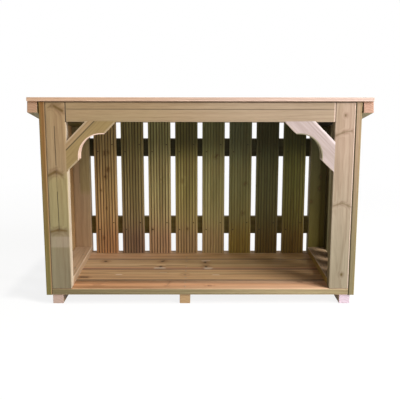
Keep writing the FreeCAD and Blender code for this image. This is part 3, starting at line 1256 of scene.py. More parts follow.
@dataclass
class Frame:
    """Posts, lintel and side rails."""

    post_ease: float = 0.004
    post_station: float = 0.03
    rail_ease: float = 0.003
    top_rail_ease: float = 0.001
    lintel_crack_drop: float = 0.027
    # Width of the painted highlight at the lintel's right end.
    lintel_end_highlight: float = 0.005

    LEFT_KNOTS: ClassVar[tuple[Knot, ...]] = (
        Knot((0.320, 0.014), (0.314, 0.024), 0.004, 0.45),
        Knot((0.320, 0.004), (0.303, -0.024), 0.006, 0.8),
        Knot((0.091, 0.008), (0.077, 0.034), 0.006, 0.85),
        Knot((0.090, 0.000), (0.080, -0.016), 0.005, 0.6),
        Knot((-0.118, 0.006), (-0.125, 0.034), 0.006, 0.8),
        Knot((-0.118, -0.002), (-0.121, -0.024), 0.005, 0.7),
    )
    RIGHT_KNOTS: ClassVar[tuple[Knot, ...]] = (
        Knot((0.218, 0.032), (0.230, 0.004), 0.005, 0.5),
        Knot((0.231, 0.001), (0.235, -0.025), 0.0035, 0.4),
        Knot((0.287, 0.0), (0.290, 0.0), 0.004, 0.7),
        Knot((-0.030, 0.029), (-0.021, 0.004), 0.004, 0.42),
        Knot((-0.020, -0.002), (-0.034, -0.032), 0.004, 0.42),
        Knot((-0.284, -0.008), (-0.281, -0.008), 0.0045, 0.95),
    )
    REAR_KNOTS: ClassVar[tuple[Knot, ...]] = (
        Knot((0.046, -0.011), (0.048, -0.011), 0.004),
        Knot((-0.003, -0.0076), (-0.001, -0.0076), 0.0045),
        Knot((-0.060, 0.0258), (-0.058, 0.0258), 0.004),
    )
    LEFT_CHECKS: ClassVar[tuple[Check, ...]] = (
        Check((0.250, 0.005), (0.115, 0.004), width=0.0018, dark=0.85),
        Check((0.020, 0.003), (-0.118, 0.0014), width=0.0018, dark=0.85),
    )
    REAR_CHECKS: ClassVar[tuple[Check, ...]] = (Check((0.280, 0.008), (0.020, 0.008), dark=0.6),)

    def build(self) -> None:
        """Build every piece of the frame."""
        for node, finish in {**self._front_posts(), **self._rear_posts()}.items():
            blank = Blank.of_node(node, Lay.UPRIGHT)
            sweep = Sweep.board(blank, self.post_ease, station=self.post_station, head_fall=FALL)
            show_board(node, Slot.FRAME, blank, finish, sweep)
        self._lintel()
        self._rails()

    def _front_posts(self) -> dict[str, Timber]:
        """Choose the timber of the front posts.

        Returns:
            Each post's node and finish.
        """
        # Painted shade under the roof's edge and beside the lintel's ends.
        roof_shadow_line = ShadeLine(Axis.ALONG, 1, Axis.THROUGH, 1, width=0.005)
        lintel_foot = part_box("lintel")[0].z - middle("front_post_left").z
        lintel_left, lintel_right = (
            ShadeLine(Axis.ACROSS, side, Axis.THROUGH, 1, width=0.003, dark=0.8, foot=lintel_foot)
            for side in (-1, 1)
        )
        green_stretch = Band(Axis.ALONG, -0.12, 0.08, shade(156, 148, 96), share=0.45, soft=0.02)
        grey_stretch = Band(Axis.ALONG, -0.181, -0.142, shade(170, 154, 134), share=0.5, soft=0.004)
        # Painted highlight on the right post's right edge.
        arris_highlight = Band(Axis.ACROSS, -0.04, -0.0315, shade(222, 197, 184), share=0.7, soft=0.001)
        left = Timber(
            shade(164, 136, 99),
            shade(132, 121, 95),
            # The left post's flanks are lit: painted light.
            flanks=(shade(224, 207, 182), shade(222, 208, 184)),
            cast_share=0.3,
            knot_tone=shade(94, 70, 26),
            knots=self.LEFT_KNOTS,
            bands=(green_stretch, grey_stretch),
            checks=self.LEFT_CHECKS,
            shade_lines=(roof_shadow_line, lintel_left),
        )
        right = Timber(
            shade(175, 151, 131),
            shade(158, 146, 123),
            # The right post's flanks are in painted shade.
            flanks=(shade(126, 117, 86), shade(122, 113, 84)),
            knot_tone=shade(88, 72, 32),
            knots=self.RIGHT_KNOTS,
            bands=(arris_highlight,),
            shade_lines=(roof_shadow_line, lintel_right),
        )
        return {"front_post_left": left, "front_post_right": right}

    def _rear_posts(self) -> dict[str, Timber]:
        """Choose the timber of the rear posts.

        Returns:
            Each post's node and finish.
        """
        # The rear posts' tones carry painted light: the left post lit, the right post's front in painted
        # shade and the rest of it in a plain colour.
        olive_half = Band(Axis.ACROSS, -0.04, 0.007, shade(160, 148, 92), foot=-0.02)
        green_top = Band(Axis.ALONG, 0.20, 0.40, shade(96, 92, 40), share=0.8, soft=0.05)
        pale_back = Band(Axis.THROUGH, -0.05, 0.012, shade(150, 134, 96), share=0.9)
        left_bands = (olive_half, green_top)
        left = Timber(shade(208, 184, 148), shade(181, 150, 115), bands=left_bands, checks=self.REAR_CHECKS)
        right = Timber(shade(72, 69, 38), shade(118, 106, 44), knots=self.REAR_KNOTS, bands=(pale_back,))
        return {"rear_post_left": left, "rear_post_right": right}

    def _lintel(self) -> None:
        """Build the lintel, its upper face cut to the roof."""
        blank = Blank.of_node("lintel", Lay.RAIL)
        half_length, top, face = blank.halves
        corners = [(-top, -face), (top - blank.thickness * FALL, -face), (top, face), (-top, face)]
        line = top - self.lintel_crack_drop
        # Painted highlight at the right end, and painted shade under the roof and at the left end.
        highlight_from = half_length - self.lintel_end_highlight
        end_highlight = Band(Axis.ALONG, highlight_from, half_length, shade(214, 188, 172), share=0.8, soft=0.001)
        roof_shadow_line = ShadeLine(Axis.ACROSS, 1, Axis.THROUGH, 1, width=0.005)
        left_end = ShadeLine(Axis.ALONG, -1, Axis.THROUGH, 1, width=0.0025)
        crack = Check((-0.46, line + 0.001), (0.46, line), width=0.0021, depth=0.002, dark=0.6)
        finish = Timber(
            shade(167, 146, 122),
            shade(160, 135, 100),
            pith=(0.02, -0.05),
            contrast=0.08,
            streak=0.25,
            bands=(end_highlight,),
            checks=(crack,),
            shade_lines=(roof_shadow_line, left_end),
        )
        sweep = Sweep(eased(corners, self.post_ease), blank.length, blank.place)
        show_board("lintel", Slot.FRAME, blank, finish, sweep)

    def _rails(self) -> None:
        """Build the flat rails at the foot and the head of the sides."""
        # The tones carry painted light: the left rails lit, the right rails shaded, and the top rails
        # darkened by painted shade under the roof.
        tones = {
            "left": (shade(203, 173, 140), shade(203, 173, 140), shade(96, 88, 38)),
            "right": (shade(160, 134, 106), shade(164, 137, 66), shade(40, 37, 18)),
        }
        for name, (tone, flank, top_tone) in tones.items():
            bottom, top = "side_bottom_rail_" + name, "side_top_rail_" + name
            blank = Blank.of_node(bottom, Lay.DEEP)
            # The pale edges are partly painted highlight.
            finish = Timber(tone, tone, flanks=(flank, flank), arris=0.5)
            show_board(bottom, Slot.FRAME, blank, finish, Sweep.board(blank, self.rail_ease))
            low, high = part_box(top)
            run = (high.y - low.y) / math.cos(SLOPE)
            blank = Blank(Lay.DEEP.place(middle(top), SLOPE), run, high.x - low.x, RAIL_THICKNESS)
            section = eased(blank.corners, self.top_rail_ease)
            sweep = Sweep(section, run - RAIL_THICKNESS * math.sin(SLOPE), blank.place)
            show_board(top, Slot.FRAME, blank, Timber(top_tone, top_tone), sweep)


@dataclass
class Brackets:
    """Corner brackets of post stock, each with a round cut-out and two bored screw seats."""

    inner_leg: float = 0.070
    stock: float = 0.070
    shoulder: float = 0.039
    radius: float = 0.082
    bore: float = 0.0045
    tip: float = 0.024
    seat: float = 0.012
    end_ease: float = 0.003
    crack_drop: float = 0.018
    crack_reach: float = 0.09

    LAYS: ClassVar[dict[str, Lay]] = {"left": Lay.RISING, "right": Lay.FALLING}
    UPPER_FROM: ClassVar[dict[str, float]] = {"left": 0.017, "right": 0.031}
    CRACK_DARK: ClassVar[dict[str, float]] = {"left": 0.75, "right": 0.1}
    ARC_STEPS: ClassVar[int] = 24
    BORE_SIDES: ClassVar[int] = 20

    @property
    def outer_leg(self) -> float:
        """Give how far a bracket reaches along the post and the lintel."""
        return self.inner_leg + self.stock * math.sqrt(2)

    @staticmethod
    def corner(name: str) -> Vector:
        """Give the corner of the post and the lintel, in the bracket's middle plane."""
        node = "corner_bracket_" + name
        return Vector((side_face(node, SIDES[name]), middle(node).y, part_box(node)[1].z))

    def seats(self, name: str) -> list[Spot]:
        """Find the two screw seats of a bracket.

        Args:
            name: left or right.

        Returns:
            Each seat's place and the way out of the timber.
        """
        inward = Vector((-SIDES[name], 0, 0))
        reach = self.outer_leg - self.tip
        under = self.corner(name) + inward * reach - UP * self.seat
        beside = self.corner(name) + inward * self.seat - UP * reach
        return [(under, -UP), (beside, inward)]

    def build(self) -> None:
        """Build both brackets."""
        # The cut-out's colour carries painted light, lit on the left bracket and shaded on the right; the
        # right bracket's upper strip is a painted highlight.
        tones = {
            "left": (shade(147, 124, 80), shade(166, 138, 102), shade(222, 192, 172)),
            "right": (shade(184, 167, 163), shade(232, 218, 222), shade(130, 122, 96)),
        }
        for name, (tone, upper_tone, open_tone) in tones.items():
            node = "corner_bracket_" + name
            low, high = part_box(node)
            depth = high.y - low.y
            sweep = Sweep(self._outline(name), depth, Lay.FACING.place(middle(node)), self.end_ease)
            inward = (self.outer_leg + self.inner_leg) / 4
            centre = self.corner(name) - Vector((SIDES[name] * inward, 0, inward))
            place = self.LAYS[name].place(centre)
            blank = Blank(place, self.outer_leg * math.sqrt(2), self.stock, depth)
            hollow_place = (inward - self.shoulder - self.radius) * math.sqrt(2)
            line, reach = self.stock / 2 - self.crack_drop, self.crack_reach
            crack = Check((-reach, line), (reach, line), width=0.003, dark=self.CRACK_DARK[name])
            upper = Band(Axis.ACROSS, self.UPPER_FROM[name], self.stock, upper_tone, share=0.8)
            finish = Timber(
                tone,
                tone,
                end=tone,
                pith=(-0.03, -0.05),
                contrast=0.1,
                bands=(upper,),
                checks=(crack,),
                hollows=(Hollow((0.0, hollow_place), self.radius, open_tone),),
            )
            mesh = self._bored(name, sweep.mesh(node + "_solid"))
            show(node, "_wood", Slot.FRAME, mesh, finish.material(node, blank))

    def _outline(self, name: str) -> list[Point]:
        """Draw a bracket seen from the front.

        Args:
            name: left or right.

        Returns:
            The outline about the bracket's middle, anticlockwise.
        """
        outer, inner, shoulder = self.outer_leg, self.inner_leg, self.shoulder
        turn = shoulder + self.radius
        legs = [(0.0, outer), (0.0, inner), (inner, 0.0), (outer, 0.0), (outer - shoulder, shoulder)]
        for step in range(self.ARC_STEPS + 1):
            angle = QUARTER_TURN * step / self.ARC_STEPS
            legs.append((turn - self.radius * math.sin(angle), turn - self.radius * math.cos(angle)))
        legs.append((shoulder, outer - shoulder))
        side = SIDES[name]
        corner = self.corner(name) - middle("corner_bracket_" + name)
        points = [(corner.x - side * across, corner.z - down) for across, down in legs]
        return points[::-side]

    def _bored(self, name: str, solid: bpy.types.Mesh) -> bpy.types.Mesh:
        """Bore the two screw seats into a bracket.

        Args:
            name: left or right.
            solid: The bracket's mesh.

        Returns:
            The bored mesh.
        """
        deep = 2 * self.tip
        drills = bmesh.new()
        for seat, way in self.seats(name):
            turn = Matrix.Rotation(abs(way.x) * QUARTER_TURN, 4, "Y")
            bmesh.ops.create_cone(
                drills,
                cap_ends=True,
                segments=self.BORE_SIDES,
                radius1=self.bore,
                radius2=self.bore,
                depth=deep,
                matrix=Matrix.Translation(seat + way * (deep / 2)) @ turn,
            )
        shape = bpy.data.meshes.new("drills")
        drills.to_mesh(shape)
        drills.free()
        tool = placed(shape, "drills")
        holder = placed(solid, "bored_bracket")
        cut = holder.modifiers.new("bore", "BOOLEAN")
        cut.operation = "DIFFERENCE"
        cut.solver = "EXACT"
        cut.object = tool
        made = baked(holder, "corner_bracket_%s_wood" % name)
        discard(tool)
        return made


class Wall(Enum):
    """The slatted walls: the side where each stands, and how its slats lie."""

    LEFT = (-1, Lay.LEFT_WALL)
    BACK = (0, Lay.UPRIGHT)
    RIGHT = (1, Lay.RIGHT_WALL)


@dataclass
class Walls:
    """Reeded slats of the back and the sides, and the rails behind the back slats."""

    slat_ease: float = 0.003
    reed_count: int = 7
    reed_pitch: float = 0.012
    reed_width: float = 0.0055
    reed_depth: float = 0.0025
    rail_ease: float = 0.003
    # How much brighter the painted light makes the slats at mid-height.
    lit_gain: float = 1.4

    POINTS_PER_REED: ClassVar[int] = 5
    POINTS_PER_CORNER: ClassVar[int] = 4
    MERGE: ClassVar[float] = 1e-5
    BACK_KNOTS: ClassVar[dict[int, tuple[Knot, ...]]] = {
        1: (
            Knot((0.083, -0.010), (0.074, -0.008), 0.004),
            Knot((0.050, 0.0027), (0.047, 0.0027), 0.0045, 0.95),
            Knot((0.155, 0.0033), (0.142, 0.0033), 0.004, 0.7),
            Knot((0.155, -0.010), (0.150, -0.012), 0.004, 0.6),
            Knot((-0.009, 0.0203), (-0.011, 0.0203), 0.003, 0.6),
            Knot((-0.085, 0.001), (-0.090, 0.001), 0.003, 0.6),
            Knot((-0.216, 0.0146), (-0.219, 0.0146), 0.004, 0.7),
        ),
        3: (
            Knot((-0.178, 0.0324), (-0.180, 0.0324), 0.0035, 0.8),
            Knot((0.038, -0.004), (0.036, -0.006), 0.005, 0.3),
        ),
        4: (
            Knot((-0.176, -0.0015), (-0.178, -0.0015), 0.004, 0.8),
            Knot((0.034, 0.0166), (0.026, 0.0166), 0.006, 0.25),
        ),
        5: (Knot((0.142, -0.018), (0.132, -0.008), 0.004, 0.7),),
        6: (
            Knot((0.021, -0.024), (0.016, -0.018), 0.004, 0.6),
            Knot((-0.108, -0.0119), (-0.110, -0.0119), 0.005, 0.6),
        ),
    }

    def build(self) -> None:
        """Build every piece of the walls."""
        self._back_slats()
        self._side_slats()
        self._back_rails()

    @cached_property
    def tool(self) -> NodeTool:
        """Make the tree that draws a reeded slat.

        Returns:
            The tree.
        """
        sizes = ("Length", "Width", "Thickness", "Ease", "Slope Across", "Slope Through")
        reeds = ("Reed Count", "Reed Pitch", "Reed Width", "Reed Depth")
        tool = NodeTool("reeded_slat", sizes + reeds, ("Foot", "Turn"))
        sketch, given = tool.sketch, tool.given
        face = sketch.node("GeometryNodeFillCurve", {0: self._section(tool)}, mode="NGONS")
        sockets = {"Mesh": face, "Offset": sketch.joined(z=given("Length")), "Individual": False}
        walls = sketch.node("GeometryNodeExtrudeMesh", sockets, mode="FACES")
        foot = sketch.node("GeometryNodeFlipFaces", {"Mesh": face})
        whole = sketch.node("GeometryNodeJoinGeometry", {0: [walls, foot]})
        solid = sketch.node("GeometryNodeMergeByDistance", {"Geometry": whole, "Distance": self.MERGE})
        x, y, z = sketch.split(sketch.node("GeometryNodeInputPosition"))
        drop = (x * given("Slope Across") + y * given("Slope Through")) * (z / given("Length"))
        sockets = {"Geometry": solid, "Offset": sketch.joined(z=0 - drop)}
        cut = sketch.node("GeometryNodeSetPosition", sockets)
        tool.close(tool.moved(cut, Translation=given("Foot"), Rotation=given("Turn")))
        return tool

    def _section(self, tool: NodeTool) -> Wire:
        """Draw a slat's section: the reeds from left to right, then the four rounded corners.

        Args:
            tool: The slat's tree.

        Returns:
            The closed curve.
        """
        sketch, given = tool.sketch, tool.given
        width, thickness, ease = given("Width"), given("Thickness"), given("Ease")
        index = sketch.node("GeometryNodeInputIndex")
        reed_points = given("Reed Count") * self.POINTS_PER_REED
        reed = (index / self.POINTS_PER_REED).floor()
        swing = (index - reed * self.POINTS_PER_REED) * (2 / (self.POINTS_PER_REED - 1)) - 1
        reed_middle = (reed - (given("Reed Count") - 1) * 0.5) * given("Reed Pitch")
        reed_x = reed_middle + swing * given("Reed Width") * 0.5
        reed_y = given("Reed Depth") * (1 - swing * swing)
        after = index - reed_points
        corner = (after / self.POINTS_PER_CORNER).floor()
        step = (after - corner * self.POINTS_PER_CORNER) * (1 / (self.POINTS_PER_CORNER - 1))
        angle = (corner + step - 1) * QUARTER_TURN
        right = 1 - (corner > 1.5) * 2
        back = (abs(corner - 1.5) < 1) * (thickness - ease * 2) + ease
        corner_x = right * (width * 0.5 - ease) + angle.cosine() * ease
        corner_y = back + angle.sine() * ease
        sockets = {
            "Switch": index < reed_points,
            "False": sketch.joined(corner_x, corner_y),
            "True": sketch.joined(reed_x, reed_y),
        }
        outline = sketch.node("GeometryNodeSwitch", sockets, input_type="VECTOR")
        sockets = {"Curve": sketch.node("GeometryNodeCurvePrimitiveLine")}
        sockets["Count"] = reed_points + 4 * self.POINTS_PER_CORNER
        dotted = sketch.node("GeometryNodeResampleCurve", sockets, mode="COUNT")
        closed = sketch.node("GeometryNodeSetSplineCyclic", {0: dotted, "Cyclic": True})
        return sketch.node("GeometryNodeSetPosition", {"Geometry": closed, "Position": outline})

    def _slat(self, node: str, wall: Wall, finish: Timber) -> None:
        """Build one slat.

        Args:
            node: The node that it stands for.
            wall: The wall that it stands in.
            finish: Its timber.
        """
        side, lay = wall.value
        blank = Blank.of_node(node, lay)
        low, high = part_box(node)
        centre = middle(node)
        material = finish.material(node, blank)
        values = {
            "Length": high.z - low.z - abs(side) * FALL * blank.width / 2,
            "Width": blank.width,
            "Thickness": blank.thickness,
            "Ease": self.slat_ease,
            "Reed Count": float(self.reed_count),
            "Reed Pitch": self.reed_pitch,
            "Reed Width": self.reed_width,
            "Reed Depth": self.reed_depth,
            "Slope Across": side * FALL,
            "Slope Through": 0.0 if side else FALL,
            "Foot": (side_face(node, side), centre.y, low.z) if side else (centre.x, low.y, low.z),
            "Turn": (0.0, 0.0, side * QUARTER_TURN),
            "Material": material,
        }
        mesh = self.tool.run(bpy.data.meshes.new(node + "_wood"), values)
        show(node, "_wood", Slot.SLAT, mesh, material)

    def _back_slats(self) -> None:
        """Build the back slats, from left to right."""
        # The tones carry painted light, bright at the left and darker to the right; the lit stretch is
        # painted light at mid-height, the top shadow is painted shade under the lintel, and the back faces
        # keep one plain colour.
        slats = (
            (shade(208, 182, 122), shade(200, 148, 100), 0.36, 0.92),
            (shade(166, 157, 98), shade(148, 115, 89), 0.45, 0.92),
            (shade(195, 195, 130), shade(202, 162, 122), 0.55, 0.9),
            (shade(175, 174, 96), shade(192, 159, 111), 0.8, 0.8),
            (shade(167, 174, 112), shade(194, 165, 113), 0.68, 0.5),
            (shade(122, 132, 92), shade(168, 142, 68), 0.55, 0.4),
            (shade(90, 96, 57), shade(115, 93, 43), 0.76, 0.6),
            (shade(111, 117, 56), shade(138, 110, 51), 0.75, 0.5),
        )
        pale_back = Band(Axis.THROUGH, -0.05, -0.006, shade(152, 134, 94), share=0.8)
        for number, (head, foot, top_shadow_dark, bed_dark) in enumerate(slats, 1):
            lit = (*(self.lit_gain * channel for channel in head[:3]), 1.0)
            lit_stretch = Band(Axis.ALONG, -0.17, 0.06, lit, share=0.35, soft=0.06)
            top_shadow = ShadeLine(Axis.ALONG, 1, Axis.THROUGH, 1, width=0.20, dark=top_shadow_dark, tone=shade(46, 41, 8))
            finish = Timber(
                head,
                foot,
                pith=(0.01 * (-1) ** number, -0.05),
                streak=0.5,
                cast=shade(112, 108, 54),
                cast_share=0.3,
                knots=self.BACK_KNOTS.get(number, ()),
                bands=(lit_stretch, pale_back),
                reeds=(Reeds(self.reed_depth, bed_dark),),
                shade_lines=(top_shadow,),
            )
            self._slat("back_slat_%d" % number, Wall.BACK, finish)

    def _side_slats(self) -> None:
        """Build the side slats, from front to back."""
        tones = {
            # The inner faces carry painted light, lit on the left wall and shaded on the right; a line of
            # painted shade runs beside each front post.
            Wall.LEFT: (shade(134, 92, 44), shade(116, 108, 58), shade(196, 158, 110), 0.7),
            Wall.RIGHT: (shade(170, 144, 118), shade(130, 118, 86), shade(64, 58, 24), 0.2),
        }
        for wall, (head, foot, inner_tone, line_dark) in tones.items():
            side, lay = wall.value
            post_shadow_line = ShadeLine(Axis.THROUGH, -1, Axis.ACROSS, side, width=0.0035, dark=line_dark)
            for number in range(1, SIDE_SLATS + 1):
                node = "side_slat_%s_%d" % (wall.name.lower(), number)
                first = number == 1
                thickness = Blank.of_node(node, lay).thickness
                inner_reach = 0.004 - thickness / 2 if first else 0.0
                inner = Band(Axis.THROUGH, -thickness, inner_reach, inner_tone, share=0.9, soft=0.002)
                outer = Band(Axis.THROUGH, 0.004, thickness, shade(140, 124, 66), share=0.4)
                finish = Timber(
                    head,
                    foot,
                    arris=0.0,
                    bands=(inner, outer),
                    reeds=(Reeds(self.reed_depth),),
                    shade_lines=(post_shadow_line,) if first else (),
                )
                self._slat(node, wall, finish)

    def _back_rails(self) -> None:
        """Build the two rails that the back slats are nailed to."""
        # The front tones are painted shade; the back faces keep the plain colour.
        unshaded_back = Band(Axis.THROUGH, -0.05, 0.006, shade(148, 130, 92), share=0.9)
        for node, tone in zip(BACK_RAILS, (shade(126, 112, 54), shade(50, 46, 4))):
            blank = Blank.of_node(node, Lay.RAIL)
            finish = Timber(tone, tone, bands=(unshaded_back,))
            show_board(node, Slot.BATTEN, blank, finish, Sweep.board(blank, self.rail_ease))


@dataclass
class Roof:
    """Lapped roof boards and the battens outside the walls."""

    thickness: float = 0.013
    lap: float = 0.010
    joint_gap: float = 0.002
    batten_setback: float = 0.012
    batten_height: float = 0.038
    batten_ease: float = 0.002
    edge_ease: float = 0.0015
    boards: int = 4

    EDGES: ClassVar[tuple[Colour, Colour]] = (shade(197, 171, 159), shade(203, 167, 138))
    BATTEN: ClassVar[Colour] = shade(136, 124, 84)
    BATTEN_ENDS: ClassVar[dict[str, Colour]] = {"left": shade(179, 144, 115), "right": shade(184, 146, 125)}

    @cached_property
    def length(self) -> float:
        """Give the roof's length down its slope."""
        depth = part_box("roof_board_%d" % self.boards)[1].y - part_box("roof_board_1")[0].y
        return (depth - self.thickness * math.sin(SLOPE)) / math.cos(SLOPE)

    @property
    def cover(self) -> float:
        """Give how much of the slope each board covers."""
        return self.length / self.boards

    def point(self, x: float, down: float, height: float) -> Vector:
        """Find a place on the roof.

        Args:
            x: How far it is to the right of the middle.
            down: How far it is down the slope from the front edge.
            height: How far it is above the underside.

        Returns:
            The place.
        """
        low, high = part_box("roof_board_1")
        start = Vector((0, low.y, high.z - self.thickness * math.cos(SLOPE)))
        return start + Matrix.Rotation(-SLOPE, 3, "X") @ Vector((x, down, height))

    def build(self) -> None:
        """Build every piece of the roof."""
        tones = (
            (shade(187, 157, 137), shade(191, 153, 123)),
            (shade(174, 148, 122), shade(184, 150, 122)),
            (shade(194, 162, 136), shade(178, 144, 114)),
            (shade(170, 142, 114), shade(186, 152, 122)),
        )
        for number, (head, foot) in enumerate(tones, 1):
            self._board(number, head, foot)
        self._battens()

    def _board(self, number: int, head: Colour, foot: Colour) -> None:
        """Build one roof board.

        Args:
            number: The board's number, from the front.
            head: Its colour at the right.
            foot: Its colour at the left.
        """
        node = "roof_board_%d" % number
        down, up = (number - 0.5) * self.cover, self.thickness / 2
        section = [(point[0] - down, point[1] - up) for point in self._profile(number)]
        place = Lay.LENGTHWISE.place(self.point(0.0, down, up), SLOPE)
        blank = Blank(place, 2 * side_face(node, 1), self.cover, self.thickness)
        # Painted shade beside the lap of the board in front.
        lap_shadow = ShadeLine(Axis.ACROSS, -1, Axis.THROUGH, 1, width=0.018, dark=0.6)
        finish = Timber(
            head,
            foot,
            flanks=self.EDGES,
            pith=(0.01 * (-1) ** number, -0.07),
            cast_share=0.1,
            shade_lines=() if number == 1 else (lap_shadow,),
        )
        sweep = Sweep(eased(section, self.edge_ease, 2), blank.length, place)
        show_board(node, Slot.ROOF, blank, finish, sweep)

    def _profile(self, number: int) -> list[Point]:
        """Draw a board's section, lapped over the next one down.

        Args:
            number: The board's number, from the front.

        Returns:
            The section, down the slope and up from the underside, anticlockwise.
        """
        top, half = self.thickness, self.thickness / 2
        begin, end = (number - 1) * self.cover, number * self.cover
        seat = begin + self.joint_gap
        front = [(seat + self.lap, top), (seat + self.lap, half), (seat, half), (seat, 0.0)]
        back = [(end, 0.0), (end, half), (end + self.lap, half), (end + self.lap, top)]
        if number == 1:
            front = [(begin, top), (begin, 0.0)]
        if number == self.boards:
            back = [(end, 0.0), (end, top)]
        return front + back

    def _battens(self) -> None:
        """Build the battens under the ends of the roof."""
        for name, end in self.BATTEN_ENDS.items():
            node = "roof_batten_" + name
            low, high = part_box(node)
            centre = self.point(middle(node).x, self.length / 2, -self.batten_height / 2)
            length = self.length - 2 * self.batten_setback
            blank = Blank(Lay.DEEP.place(centre, SLOPE), length, high.x - low.x, self.batten_height)
            finish = Timber(self.BATTEN, self.BATTEN, end=end, pith=(0.006, 0.04))
            show_board(node, Slot.BATTEN, blank, finish, Sweep.board(blank, self.batten_ease))


class Head(Enum):
    """Kinds of fastener heads."""

    COUNTERSUNK = "countersunk"
    PAN = "pan"
    NAIL = "nail"


@dataclass
class Fasteners:
    """Screws and nails, drawn by one tree on the points where they stand."""

    roof: Roof
    brackets: Brackets
    screw_radius: float = 0.002
    screw_head_radius: float = 0.004
    screw_head_depth: float = 0.0035
    nail_radius: float = 0.00125
    nail_head_radius: float = 0.0025
    nail_head_depth: float = 0.0012
    proud: float = 0.0003
    recess_width: float = 0.0011
    recess_length: float = 0.0046
    recess_depth: float = 0.0014
    floor_screw: float = 0.045
    post_screw: float = 0.070
    frame_screw: float = 0.110
    bracket_screw: float = 0.050
    roof_screw: float = 0.035
    nail: float = 0.040
    floor_inset: float = 0.025
    rail_inset: float = 0.120
    lintel_spread: float = 0.028
    lintel_setback: float = 0.030
    nail_offset: float = 0.030
    nail_stagger: float = 0.015
    roof_inset: float = 0.030

    HEAD_SIDES: ClassVar[int] = 16
    SHANK_SIDES: ClassVar[int] = 10

    def build(self) -> None:
        """Build every group of fasteners."""
        self._floor()
        self._frame()
        self._walls()
        self._roof()

    @cached_property
    def screw_steel(self) -> bpy.types.Material:
        """Give the finish of the screws."""
        return Zinc().material("zinc_plated_steel")

    @cached_property
    def nail_steel(self) -> bpy.types.Material:
        """Give the finish of the nails, darkened by weather."""
        return Zinc(shade(66, 60, 46), shade(40, 36, 26)).material("weathered_steel")

    @cached_property
    def tool(self) -> NodeTool:
        """Make the tree that stands a fastener on every point.

        Returns:
            The tree.
        """
        sizes = ("Top Radius", "Bottom Radius", "Head Depth", "Rise", "Shank Radius", "Length")
        tool = NodeTool("fastener", sizes + ("Recess Width", "Recess Length", "Recess Depth"))
        sketch, given = tool.sketch, tool.given
        depth = given("Head Depth")
        drop = given("Rise") - depth
        sockets = {"Vertices": self.SHANK_SIDES, "Radius": given("Shank Radius")}
        sockets["Depth"] = given("Length") - depth
        shank = sketch.node("GeometryNodeMeshCylinder", sockets)
        shank = tool.moved(shank, Translation=sketch.joined(z=drop - sockets["Depth"] * 0.5))
        whole = sketch.node("GeometryNodeJoinGeometry", {0: [self._head(tool, drop), shank]})
        named = {"Name": "outward"}
        outward = sketch.node("GeometryNodeInputNamedAttribute", named, data_type="FLOAT_VECTOR")
        turn = sketch.node("FunctionNodeAlignRotationToVector", {"Vector": outward}, axis="Z")
        sockets = {"Points": given("Geometry"), "Instance": whole, "Rotation": turn}
        tool.close(sketch.node("GeometryNodeInstanceOnPoints", sockets))
        return tool

    def _head(self, tool: NodeTool, drop: Wire) -> Wire:
        """Draw a head, with a crossed recess where it has one.

        Args:
            tool: The fastener's tree.
            drop: How high the head's underside lies.

        Returns:
            The head.
        """
        sketch, given = tool.sketch, tool.given
        sockets = {
            "Vertices": self.HEAD_SIDES,
            "Radius Top": given("Top Radius"),
            "Radius Bottom": given("Bottom Radius"),
            "Depth": given("Head Depth"),
        }
        head = tool.moved(sketch.node("GeometryNodeMeshCone", sockets), Translation=sketch.joined(z=drop))
        size = sketch.joined(given("Recess Length"), given("Recess Width"), given("Recess Depth") * 2)
        bar = sketch.node("GeometryNodeMeshCube", {"Size": size})
        top = sketch.joined(z=given("Rise"))
        bars = [tool.moved(bar, Translation=top, Rotation=(0.0, 0.0, turn)) for turn in (0.0, QUARTER_TURN)]
        sockets = {"Mesh 1": head, "Mesh 2": bars}
        crossed = sketch.node("GeometryNodeMeshBoolean", sockets, operation="DIFFERENCE")
        sockets = {"Switch": given("Recess Width") > 0, "False": head, "True": crossed}
        return sketch.node("GeometryNodeSwitch", sockets, input_type="GEOMETRY")

    def _group(self, node: str, head: Head, length: float, spots: Sequence[Spot]) -> None:
        """Build one group of fasteners.

        Args:
            node: The node that it stands for.
            head: Kind of head.
            length: Length of each fastener below its head point.
            spots: Each fastener's head point and the way out of the timber.
        """
        nail, pan = head is Head.NAIL, head is Head.PAN
        radius = self.nail_head_radius if nail else self.screw_head_radius
        shank = self.nail_radius if nail else self.screw_radius
        depth = self.nail_head_depth if nail else self.screw_head_depth
        steel = self.nail_steel if nail else self.screw_steel
        points = bpy.data.meshes.new(node + "_steel")
        points.from_pydata([spot for spot, _ in spots], [], [])
        outward = points.attributes.new("outward", "FLOAT_VECTOR", "POINT")
        for item, (_, way) in zip(outward.data, spots):
            item.vector = way
        values = {
            "Top Radius": radius,
            "Bottom Radius": shank if head is Head.COUNTERSUNK else radius,
            "Head Depth": depth,
            "Rise": depth if pan else self.proud,
            "Shank Radius": shank,
            "Length": length + (depth if pan else 0.0),
            "Recess Width": 0.0 if nail else self.recess_width,
            "Recess Length": self.recess_length,
            "Recess Depth": self.recess_depth,
            "Material": steel,
        }
        show(node, "_steel", Slot.STEEL, self.tool.run(points, values), steel)

